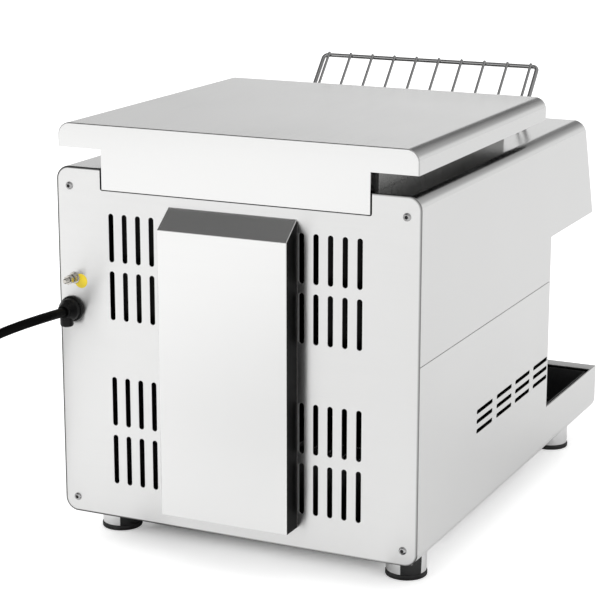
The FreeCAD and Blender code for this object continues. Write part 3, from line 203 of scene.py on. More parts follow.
def addLamp(name, place, target, size, power, inMetal):
    data = bpy.data.lights.new(name, "AREA")
    data.shape = "RECTANGLE"
    data.size, data.size_y = size
    data.energy = power
    lamp = bpy.data.objects.new(name, data)
    aim = Vector(target) - Vector(place)
    lamp.location = place
    lamp.rotation_euler = aim.to_track_quat("-Z", "Y").to_euler()
    lamp.visible_glossy = inMetal
    bpy.context.scene.collection.objects.link(lamp)


def flatMaterial(name, color):
    material = bpy.data.materials.new(name)
    material.use_nodes = True
    shader = material.node_tree.nodes["Principled BSDF"]
    shader.inputs["Base Color"].default_value = color
    shader.inputs["Roughness"].default_value = 1.0
    shader.inputs["Specular IOR Level"].default_value = 0.0
    return material


def stageSheet(name, corners, material):
    mesh = bpy.data.meshes.new(name)
    mesh.from_pydata([tuple(corner) for corner in corners], [], [list(range(len(corners)))])
    mesh.materials.append(material)
    sheet = bpy.data.objects.new(name, mesh)
    bpy.context.scene.collection.objects.link(sheet)
    return sheet


def addFloor():
    half = studio["floorSize"] / 2
    paint = flatMaterial("paleFloor", studio["floorColor"])
    tree = paint.node_tree
    output = tree.nodes["Material Output"]
    lift = tree.nodes.new("ShaderNodeEmission")
    path = tree.nodes.new("ShaderNodeLightPath")
    mirrored = nodeMath(tree, "MAXIMUM", path.outputs["Is Glossy Ray"], path.outputs["Is Transmission Ray"])
    lifted = nodeMath(tree, "MULTIPLY", path.outputs["Is Camera Ray"], studio["floorLift"])
    split = tree.nodes.new("ShaderNodeSeparateXYZ")
    tree.links.new(tree.nodes.new("ShaderNodeTexCoord").outputs["Object"], split.inputs[0])
    rearward = nodeRange(tree, split.outputs["Y"], *studio["behind"], 0.0, 1.0)
    start, end, level = studio["mirrorNear"]
    nearby = nodeMath(tree, "MULTIPLY", rearward, nodeRange(tree, split.outputs["Y"], start, end, level, 0.0))
    extra = nodeMath(tree, "MULTIPLY", mirrored, nodeMath(tree, "ADD", nearby, studio["mirrorLift"]))
    halfWidth, halfDepth, middle = studio["footprint"]
    beside = nodeMath(tree, "SUBTRACT", nodeMath(tree, "ABSOLUTE", split.outputs["X"]), halfWidth)
    behind = nodeMath(tree, "ABSOLUTE", nodeMath(tree, "SUBTRACT", split.outputs["Y"], middle))
    outside = nodeMath(tree, "MAXIMUM", beside, nodeMath(tree, "SUBTRACT", behind, halfDepth))
    openFloor = nodeRange(tree, outside, -0.05, 0.0, 0.0, 1.0)
    lifted = nodeMath(tree, "MULTIPLY", nodeMath(tree, "ADD", lifted, extra), openFloor)
    tree.links.new(lifted, lift.inputs["Strength"])
    near, far, level = studio["mirrorDim"]
    dimmed = nodeRange(tree, split.outputs["Y"], far, near, 1.0, 0.0)
    white = studio["floorColor"][:3]
    grey = tuple(channel * level for channel in white)
    tint = colorMix(tree, nodeMath(tree, "MULTIPLY", dimmed, mirrored), white, grey)
    halfWidth, halfDepth, fade, tone = studio["deepShade"]
    beside = nodeMath(tree, "ABSOLUTE", split.outputs["X"])
    deep = nodeMath(tree, "MULTIPLY", nodeRange(tree, beside, halfWidth, halfWidth + fade, 1.0, 0.0),
                    nodeRange(tree, behind, halfDepth, halfDepth + fade, 1.0, 0.0))
    tint = colorMix(tree, deep, tint, (tone,) * 3)
    seen = nodeMath(tree, "MULTIPLY", mirrored, rearward)
    turned = nodeMix(tree, seen, 1.0, nodeRange(tree, split.outputs["X"], *studio["mirrorTurn"]))
    scaled = tree.nodes.new("ShaderNodeVectorMath")
    scaled.operation = "SCALE"
    tree.links.new(tint, scaled.inputs[0])
    tree.links.new(turned, scaled.inputs["Scale"])
    tree.links.new(scaled.outputs[0], tree.nodes["Principled BSDF"].inputs["Base Color"])
    both = tree.nodes.new("ShaderNodeAddShader")
    tree.links.new(tree.nodes["Principled BSDF"].outputs[0], both.inputs[0])
    tree.links.new(lift.outputs[0], both.inputs[1])
    tree.links.new(both.outputs[0], output.inputs["Surface"])
    stageSheet("floor", [(-half, -half, 0), (half, -half, 0), (half, half, 0), (-half, half, 0)], paint)


def addFootShade():
    # dark floor beside the bright foot sleeves; only mirrors see it
    black = flatMaterial("footShade", (0.06, 0.06, 0.06, 1.0))
    for i, corners in enumerate(studio["footShade"]):
        patch = stageSheet("footShade" + str(i), [(x, y, 0.001) for x, y in corners], black)
        patch.visible_camera = False
        patch.visible_diffuse = False
        patch.visible_shadow = False
        patch.visible_transmission = False


bpy.context.scene.view_settings.view_transform = "Standard"
addCamera()
addWorld()
addFloor()
addFootShade()
addLamp("softKey", (1.5, 2.1, 1.7), (0.0, 0.1, 0.2), (1.6, 1.2), 9.0, False)
print("studio: camera, room, floor and lamp")

# Mesh tools

def joinGrids(grids):
    # several (points, faces) pairs as one pair
    starts = np.cumsum([0] + [len(points) for points, faces in grids[:-1]])
    points = np.concatenate([points for points, faces in grids])
    faces = []
    for start, (part, quads) in zip(starts, grids):
        faces.extend((np.asarray(quads) + start).tolist())
    return points, faces


def gridFaces(rows, columns, closedRows=False, closedColumns=False):
    # quad (i, j) joins the grid points (i, j), (i+1, j), (i+1, j+1) and (i, j+1), wrapping where closed
    i = np.arange(rows if closedRows else rows - 1)
    j = np.arange(columns if closedColumns else columns - 1)
    i, j = np.meshgrid(i, j, indexing="ij")
    below = (i + 1) % rows
    beside = (j + 1) % columns
    corners = [i * columns + j, below * columns + j, below * columns + beside, i * columns + beside]
    return np.stack(corners, -1).reshape(-1, 4)


def cleanMesh(mesh, merge=2e-6):
    # merges doubles, drops faces with no area and turns the faces outwards
    work = bmesh.new()
    work.from_mesh(mesh)
    bmesh.ops.remove_doubles(work, verts=work.verts, dist=merge)
    bmesh.ops.dissolve_degenerate(work, edges=work.edges, dist=merge / 2)
    bmesh.ops.recalc_face_normals(work, faces=work.faces)
    work.to_mesh(mesh)
    work.free()


def putMesh(name, grid, material, body="casing", creaseAngle=38.0, clean=True):
    # grid in millimetres becomes one piece that rides on a body
    points, faces = grid
    mesh = bpy.data.meshes.new(name)
    mesh.from_pydata((np.asarray(points) * metre).tolist(), [], np.asarray(faces).tolist()
                     if isinstance(faces, np.ndarray) else faces)
    if clean:
        cleanMesh(mesh)
    return putPiece(name, mesh, material, body, creaseAngle)


def putPiece(name, mesh, material, body="casing", creaseAngle=38.0):
    mesh.materials.clear()
    mesh.materials.append(material)
    if creaseAngle:
        mesh.shade_smooth()
        mesh.set_sharp_from_angle(angle=math.radians(creaseAngle))
    piece = bpy.data.objects.new(name, mesh)
    bpy.context.scene.collection.objects.link(piece)
    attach(piece, body)
    return piece


def jointLine(name):
    # place (in millimetres) and direction of a joint
    joint = next(item for item in frame["joints"] if item["name"] == name)
    return np.array(joint["pos_m"]) / metre, np.array(joint["axis"], float)


def sideAxes(axis):
    # two unit vectors square to an axis
    axis = np.asarray(axis, float) / np.linalg.norm(axis)
    helper = np.array([1.0, 0.0, 0.0]) if abs(axis[0]) < 0.9 else upZ
    first = np.cross(axis, helper)
    first /= np.linalg.norm(first)
    return axis, first, np.cross(axis, first)


def lathe(profile, centre, axis, steps=48, closed=False):
    # point = centre + axis x height + radius x (first x cos + second x sin), for each profile (radius, height)
    axis, first, second = sideAxes(axis)
    profile = np.asarray(profile, float)
    angle = np.linspace(0.0, 2 * np.pi, steps, endpoint=False)
    ring = np.cos(angle)[:, None] * first + np.sin(angle)[:, None] * second
    points = (np.asarray(centre, float) + profile[:, None, 1:] * axis + profile[:, None, :1] * ring)
    return points.reshape(-1, 3), gridFaces(len(profile), steps, closed, True)


def repeatShape(shape, origins, frames):
    # copies of one shape: origin + x first + y second + z third, for each frame of three axes
    points, faces = shape
    origins, frames = np.asarray(origins, float), np.asarray(frames, float)
    moved = origins[:, None] + np.einsum("pk,nkj->npj", points, frames)
    offsets = np.arange(len(origins))[:, None, None] * len(points)
    return moved.reshape(-1, 3), (offsets + np.asarray(faces)[None]).reshape(-1, np.asarray(faces).shape[1])


def tubeAlong(path, radius, reference, sides=12, closed=False):
    # circle of the given radius carried along a path; side = tangent x reference, so no loop over points
    path = np.asarray(path, float)
    if closed:
        tangent = np.roll(path, -1, 0) - np.roll(path, 1, 0)
    else:
        tangent = np.gradient(path, axis=0)
    tangent /= np.linalg.norm(tangent, axis=1)[:, None]
    side = np.cross(tangent, np.asarray(reference, float))
    side /= np.linalg.norm(side, axis=1)[:, None]
    up = np.cross(side, tangent)
    angle = np.linspace(0.0, 2 * np.pi, sides, endpoint=False)
    width = np.broadcast_to(np.asarray(radius, float), (len(path),))[:, None, None]
    around = np.cos(angle)[None, :, None] * side[:, None] + np.sin(angle)[None, :, None] * up[:, None]
    points = path[:, None] + width * around
    if not closed:
        ends = np.repeat(path[[0, -1], None], sides, 1)
        points = np.concatenate([ends[:1], points, ends[1:]])
    return points.reshape(-1, 3), gridFaces(len(points), sides, closed, True)


def roundEnds(start, end, radius, steps=5):
    # path and radii of a straight rod whose ends are domed: radius x cos, step back radius x (1 - sin) / 2
    start, end = np.asarray(start, float), np.asarray(end, float)
    length = np.linalg.norm(end - start)
    turn = np.linspace(0.12, np.pi / 2, steps)
    inset = 0.5 * radius * (1 - np.sin(turn))
    along = np.concatenate([inset, length - inset[::-1]]) / length
    width = np.concatenate([radius * np.sin(turn), radius * np.sin(turn[::-1])])
    return start + along[:, None] * (end - start), width


def cornerArc(before, corner, after, radius, steps):
    # circle arc of the radius that touches both runs of a corner
    back = (before - corner) / np.linalg.norm(before - corner)
    onward = (after - corner) / np.linalg.norm(after - corner)
    half = np.arccos(np.clip(back @ onward, -1, 1)) / 2
    middle = corner + (back + onward) / np.linalg.norm(back + onward) * radius / np.sin(half)
    leave = corner + back * radius / np.tan(half) - middle
    arrive = corner + onward * radius / np.tan(half) - middle
    turn = np.pi - 2 * half
    sweep = np.linspace(0.0, 1.0, steps)[:, None]
    return middle + (np.sin((1 - sweep) * turn) * leave + np.sin(sweep * turn) * arrive) / np.sin(turn)


def roundedPath(corners, radius, steps=10):
    # open line whose inner corners are arcs of one radius
    corners = np.asarray(corners, float)
    inner = zip(corners[:-2], corners[1:-1], corners[2:])
    arcs = [cornerArc(before, corner, after, radius, steps) for before, corner, after in inner]
    return np.concatenate([corners[:1]] + arcs + [corners[-1:]])


def roundedLoop(corners, radii, steps=10):
    # closed outline with an arc of its own radius at each corner
    corners = np.asarray(corners, float)
    neighbours = zip(np.roll(corners, 1, 0), corners, np.roll(corners, -1, 0), radii)
    return np.concatenate([cornerArc(before, corner, after, radius, steps)
                           for before, corner, after, radius in neighbours])


def softCopy(node, bend, share=None, segments=3, sharp=30.0):
    # merged copy of a solid's mesh; a sharp edge gets a rounding of bend x share(middle of the edge)
    mesh = frame["nodes"][node].data.copy()
    work = bmesh.new()
    work.from_mesh(mesh)
    bmesh.ops.remove_doubles(work, verts=work.verts, dist=2e-6)
    bmesh.ops.dissolve_limit(work, angle_limit=math.radians(0.4), verts=work.verts, edges=work.edges)
    bmesh.ops.triangulate(work, faces=[face for face in work.faces if len(face.verts) > 4])
    corners = np.array([edge.calc_face_angle(0.0) for edge in work.edges])
    work.to_mesh(mesh)
    work.free()
    if "custom_normal" in mesh.attributes:
        mesh.attributes.remove(mesh.attributes["custom_normal"])
    ends = np.zeros(len(mesh.edges) * 2, int)
    mesh.edges.foreach_get("vertices", ends)
    points = np.zeros(len(mesh.vertices) * 3)
    mesh.vertices.foreach_get("co", points)
    middles = points.reshape(-1, 3)[ends.reshape(-1, 2)].mean(axis=1) / metre
    amount = np.ones(len(middles)) if share is None else share(*middles.T)
    weights = np.where(corners > math.radians(sharp), amount, 0.0)
    mesh.attributes.new("bevel_weight_edge", "FLOAT", "EDGE").data.foreach_set("value", weights)
    mesh.shade_smooth()
    holder = bpy.data.objects.new("holder", mesh)
    bpy.context.scene.collection.objects.link(holder)
    if bend:
        bevel = holder.modifiers.new("edge", "BEVEL")
        bevel.width = bend * metre
        bevel.segments = segments
        bevel.limit_method = "WEIGHT"
        bevel.use_clamp_overlap = False
        bevel.loop_slide = False
    flats = holder.modifiers.new("flats", "WEIGHTED_NORMAL")
    flats.keep_sharp = True
    graph = bpy.context.evaluated_depsgraph_get()
    finished = bpy.data.meshes.new_from_object(holder.evaluated_get(graph))
    bpy.data.objects.remove(holder)
    return finished


def dress(node, finish, bend=0.25, body="casing", share=None, segments=3):
    # the solid with softened edges, in place of its plain node
    piece = putPiece(node + "_finished", softCopy(node, bend, share, segments), finishes[finish], body, None)
    return standFor(piece, node)


def standFor(piece, *nodes):
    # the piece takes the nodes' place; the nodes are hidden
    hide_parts(*nodes)
    return piece


def loftOutline(outline, rows, centre, axis, first):
    # each row (scale, height) repeats a flat outline: centre + scale x (x first + y second) + height x axis
    axis = np.asarray(axis, float) / np.linalg.norm(axis)
    first = np.asarray(first, float)
    flat = outline[:, :1] * first + outline[:, 1:] * np.cross(axis, first)
    rows = np.asarray(rows, float)
    points = np.asarray(centre, float) + rows[:, None, :1] * flat + rows[:, None, 1:] * axis
    return points.reshape(-1, 3), gridFaces(len(rows), len(outline), closedColumns=True)


def polarGrid(radii, heights, centre, axis, closed=False):
    # radii has one row for each height and one column for each angle
    axis, first, second = sideAxes(axis)
    steps = radii.shape[1]
    angle = np.linspace(0.0, 2 * np.pi, steps, endpoint=False)
    ring = np.cos(angle)[:, None] * first + np.sin(angle)[:, None] * second
    points = np.asarray(centre, float) + radii[:, :, None] * ring + np.asarray(heights)[:, None, None] * axis
    return points.reshape(-1, 3), gridFaces(radii.shape[0], steps, closed, True)


def hexRadius(halfWidth, steps):
    # distance from the middle to a hexagon's edge, for each angle
    angle = np.linspace(0.0, 2 * np.pi, steps, endpoint=False)
    return halfWidth / np.cos((angle % (np.pi / 3)) - np.pi / 6)


def circleLoop(x, z, radius, steps=24):
    angle = np.linspace(0.0, 2 * np.pi, steps, endpoint=False)
    return np.column_stack([x + radius * np.cos(angle), z + radius * np.sin(angle)])


def slotLoop(start, end, width, steps=9):
    # two half circles round the ends of a line
    start, end = np.asarray(start, float), np.asarray(end, float)
    along = (end - start) / np.linalg.norm(end - start)
    across = np.array([-along[1], along[0]])
    angle = np.linspace(-np.pi / 2, np.pi / 2, steps)[:, None]
    radius = width / 2
    far = end - along * radius + radius * (np.cos(angle) * along + np.sin(angle) * across)
    near = start + along * radius - radius * (np.cos(angle) * along + np.sin(angle) * across)
    return np.concatenate([far, near])


def flatSheet(outline, holes, thickness, rim):
    # filled flat curve with holes and a rounded rim, as a mesh in metres around its own middle plane
    curve = bpy.data.curves.new("sheet", "CURVE")
    curve.dimensions = "2D"
    curve.fill_mode = "BOTH"
    curve.extrude = (thickness / 2 - rim) * metre
    curve.bevel_depth = rim * metre
    curve.bevel_resolution = 2
    curve.offset = -rim * metre
    for loop in [outline] + holes:
        spline = curve.splines.new("POLY")
        spline.points.add(len(loop) - 1)
        flat = np.column_stack([loop * metre, np.zeros(len(loop)), np.ones(len(loop))])
        spline.points.foreach_set("co", flat.ravel())
        spline.use_cyclic_u = True
    holder = bpy.data.objects.new("holder", curve)
    bpy.context.scene.collection.objects.link(holder)
    graph = bpy.context.evaluated_depsgraph_get()
    mesh = bpy.data.meshes.new_from_object(holder.evaluated_get(graph))
    bpy.data.objects.remove(holder)
    return mesh


def standSheet(mesh, origin, across, up):
    # a flat sheet's own (x, y, z) becomes origin + x across + y up + z (across x up)
    flat = np.zeros(len(mesh.vertices) * 3)
    mesh.vertices.foreach_get("co", flat)
    axes = np.array([across, up, np.cross(across, up)], float)
    points = np.asarray(origin, float) * metre + flat.reshape(-1, 3) @ axes
    mesh.vertices.foreach_set("co", points.ravel())
    cleanMesh(mesh)
    return mesh


# Finishes

def startFinish(name):
    material = bpy.data.materials.new(name)
    material.use_nodes = True
    return material, material.node_tree, material.node_tree.nodes["Principled BSDF"]


def objectNoise(tree, scale, detail=3.0):
    # noise on Object coordinates, with its own number of cells per metre along each axis
    place = tree.nodes.new("ShaderNodeTexCoord")
    stretch = tree.nodes.new("ShaderNodeMapping")
    stretch.inputs["Scale"].default_value = scale
    tree.links.new(place.outputs["Object"], stretch.inputs["Vector"])
    noise = tree.nodes.new("ShaderNodeTexNoise")
    noise.inputs["Scale"].default_value = 1.0
    noise.inputs["Detail"].default_value = detail
    tree.links.new(stretch.outputs[0], noise.inputs["Vector"])
    return noise.outputs["Fac"]


def makeFinish(name, look):
    # colour x clouds, roughness from stretched grain plus clouds, bump from the grain, painted shade by place and by
    # facing, worn edges
    material, tree, shader = startFinish(name)
    grain = objectNoise(tree, look["grain"], 4.0)
    clouds = objectNoise(tree, (look["cloud"],) * 3, 2.0)
    low, high = look["roughness"]
    rough = nodeRange(tree, grain, 0.3, 0.7, low, high, False)
    drift = nodeRange(tree, clouds, 0.25, 0.75, -look["smudge"], look["smudge"], False)
    rough = nodeMath(tree, "ADD", rough, drift, True)
    shade = tuple(channel * look["shade"] for channel in look["color"])
    color = colorMix(tree, nodeRange(tree, clouds, 0.3, 0.7, 0.0, 1.0), shade, look["color"])
    if "streak" in look:
        dull = tuple(channel * look["streak"] for channel in look["color"])
        color = colorMix(tree, nodeRange(tree, grain, 0.55, 0.8, 0.0, 1.0), color, dull)
    tint = None
    # painted shade: darker towards the rear and below a top, seen through the rear slots
    if "paintedRearShade" in look:
        dark, start, end, top = look["paintedRearShade"]
        split = tree.nodes.new("ShaderNodeSeparateXYZ")
        tree.links.new(tree.nodes.new("ShaderNodeTexCoord").outputs["Object"], split.inputs[0])
        rear = nodeRange(tree, split.outputs["Y"], start, end, 0.0, 1.0)
        below = nodeRange(tree, split.outputs["Z"], top, top + 0.003, 1.0, 0.0)
        color = colorMix(tree, nodeMath(tree, "MULTIPLY", rear, below), color, dark)
    if "rim" in look:
        # painted shade on the rounded rim at the rear: near the rear plane, but not facing straight back, a darker
        # colour and a black specular tint
        tone, depth = look["rim"]
        facing = tree.nodes.new("ShaderNodeSeparateXYZ")
        place = tree.nodes.new("ShaderNodeSeparateXYZ")
        tree.links.new(tree.nodes.new("ShaderNodeNewGeometry").outputs["Normal"], facing.inputs[0])
        tree.links.new(tree.nodes.new("ShaderNodeTexCoord").outputs["Object"], place.inputs[0])
        turned = nodeRange(tree, facing.outputs["Y"], 0.9, 0.985, 1.0, 0.0)
        edge = (rearFaceY - depth) * metre
        near = nodeRange(tree, place.outputs["Y"], edge - 0.1 * metre, edge, 0.0, 1.0)
        side = nodeRange(tree, facing.outputs["X"], -0.3, 0.3, 0.45, 1.0)
        rim = nodeMath(tree, "MULTIPLY", nodeMath(tree, "MULTIPLY", turned, near), side)
        color = colorMix(tree, rim, color, tone)
        tint = colorMix(tree, rim, tint or (1.0, 1.0, 1.0), (0.0, 0.0, 0.0))
    if "border" in look:
        # painted shade line inside a rounded rectangle: corner radius less the distance past the straight middles
        tone, corner, width = look["border"]
        low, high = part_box("rear_panel")
        place = tree.nodes.new("ShaderNodeSeparateXYZ")
        tree.links.new(tree.nodes.new("ShaderNodeTexCoord").outputs["Object"], place.inputs[0])
        bend = corner * metre
        across = nodeMath(tree, "SUBTRACT", nodeMath(tree, "ABSOLUTE", place.outputs["X"]), high.x - bend)
        across = nodeMath(tree, "MAXIMUM", across, 0.0)
        upper = nodeMath(tree, "SUBTRACT", place.outputs["Z"], high.z - bend)
        lower = nodeMath(tree, "SUBTRACT", low.z + bend, place.outputs["Z"])
        along = nodeMath(tree, "MAXIMUM", nodeMath(tree, "MAXIMUM", upper, lower), 0.0)
        square = nodeMath(tree, "ADD", nodeMath(tree, "POWER", across, 2.0), nodeMath(tree, "POWER", along, 2.0))
        inside = nodeMath(tree, "SUBTRACT", bend, nodeMath(tree, "SQRT", square))
        line = nodeRange(tree, inside, 0.7 * width * metre, 1.3 * width * metre, 1.0, 0.0)
        side = nodeRange(tree, place.outputs["X"], -0.05, 0.15, 0.5, 1.0)
        color = colorMix(tree, nodeMath(tree, "MULTIPLY", line, side), color, tone)
    if "paintedFlankShade" in look:
        # painted shade on both side faces, darker towards the panel, with a greyer specular tint and more roughness
        outer, inner, reach = look["paintedFlankShade"]
        facing = tree.nodes.new("ShaderNodeSeparateXYZ")
        place = tree.nodes.new("ShaderNodeSeparateXYZ")
        tree.links.new(tree.nodes.new("ShaderNodeNewGeometry").outputs["Normal"], facing.inputs[0])
        tree.links.new(tree.nodes.new("ShaderNodeTexCoord").outputs["Object"], place.inputs[0])
        depth = nodeRange(tree, place.outputs["Y"], rearFaceY * metre, (rearFaceY + reach) * metre, 0.0, 1.0, False)
        flank = nodeRange(tree, nodeMath(tree, "ABSOLUTE", facing.outputs["X"]), 0.75, 0.95, 0.0, 1.0)
        color = colorMix(tree, flank, color, colorMix(tree, depth, inner, outer))
        tint = colorMix(tree, flank, tint or (1.0, 1.0, 1.0), (0.6, 0.6, 0.6))
        rough = nodeMix(tree, flank, rough, 0.5)
    if "pan" in look:
        # painted shade on upward faces below the pan's top
        paintedPanShade, top = look["pan"]
        facing = tree.nodes.new("ShaderNodeSeparateXYZ")
        place = tree.nodes.new("ShaderNodeSeparateXYZ")
        tree.links.new(tree.nodes.new("ShaderNodeNewGeometry").outputs["Normal"], facing.inputs[0])
        tree.links.new(tree.nodes.new("ShaderNodeTexCoord").outputs["Object"], place.inputs[0])
        level = nodeRange(tree, facing.outputs["Z"], 0.5, 0.9, 0.0, 1.0)
        deep = nodeRange(tree, place.outputs["Z"], top * metre, (top + 1.0) * metre, 1.0, 0.0)
        color = colorMix(tree, nodeMath(tree, "MULTIPLY", level, deep), color, paintedPanShade)
    if "underside" in look:
        # painted shade on faces that point down
        split = tree.nodes.new("ShaderNodeSeparateXYZ")
        tree.links.new(tree.nodes.new("ShaderNodeNewGeometry").outputs["Normal"], split.inputs[0])
        color = colorMix(tree, nodeRange(tree, split.outputs["Z"], -0.9, -0.5, 1.0, 0.0), color, look["underside"])
    if "wear" in look:
        geometry = tree.nodes.new("ShaderNodeNewGeometry")
        edge = nodeRange(tree, geometry.outputs["Pointiness"], 0.52, 0.62, 0.0, look["wearAmount"])
        color = colorMix(tree, edge, color, look["wear"])
    tree.links.new(rough, shader.inputs["Roughness"])
    tree.links.new(color, shader.inputs["Base Color"])
    if tint:
        tree.links.new(tint, shader.inputs["Specular Tint"])
    bump = tree.nodes.new("ShaderNodeBump")
    bump.inputs["Strength"].default_value = look["bump"]
    bump.inputs["Distance"].default_value = look.get("bumpDepth", 0.1) * metre
    tree.links.new(grain, bump.inputs["Height"])
    tree.links.new(bump.outputs[0], shader.inputs["Normal"])
    shader.inputs["Metallic"].default_value = look["metallic"]
    if "brushed" in look:
        # blur is wider up and down than across
        shader.inputs["Anisotropic"].default_value = look["brushed"]
        upright = tree.nodes.new("ShaderNodeCombineXYZ")
        upright.inputs["Z"].default_value = 1.0
        tree.links.new(upright.outputs[0], shader.inputs["Tangent"])
    for socket, value in look.get("sockets", {}).items():
        shader.inputs[socket].default_value = value
    return material


def steelLook(color, grain, roughness, bump=0.012):
    return {"color": color, "shade": 0.985, "roughness": roughness, "grain": grain, "cloud": 7.0,
            "smudge": 0.02, "bump": bump, "bumpDepth": 0.05, "metallic": 1.0, "streak": 0.985}


def paintLook(color):
    return {"color": color, "shade": 0.8, "roughness": (0.4, 0.5), "grain": (900.0,) * 3, "cloud": 60.0,
            "smudge": 0.04, "bump": 0.05, "bumpDepth": 0.05, "metallic": 0.0}


fine, long = 1100.0, 11.0      # cells per metre across and along the brushing
alongX, alongY, alongZ = (long, fine, fine), (fine, long, fine), (fine, fine, long)
evenGrain = (700.0, 700.0, 700.0)

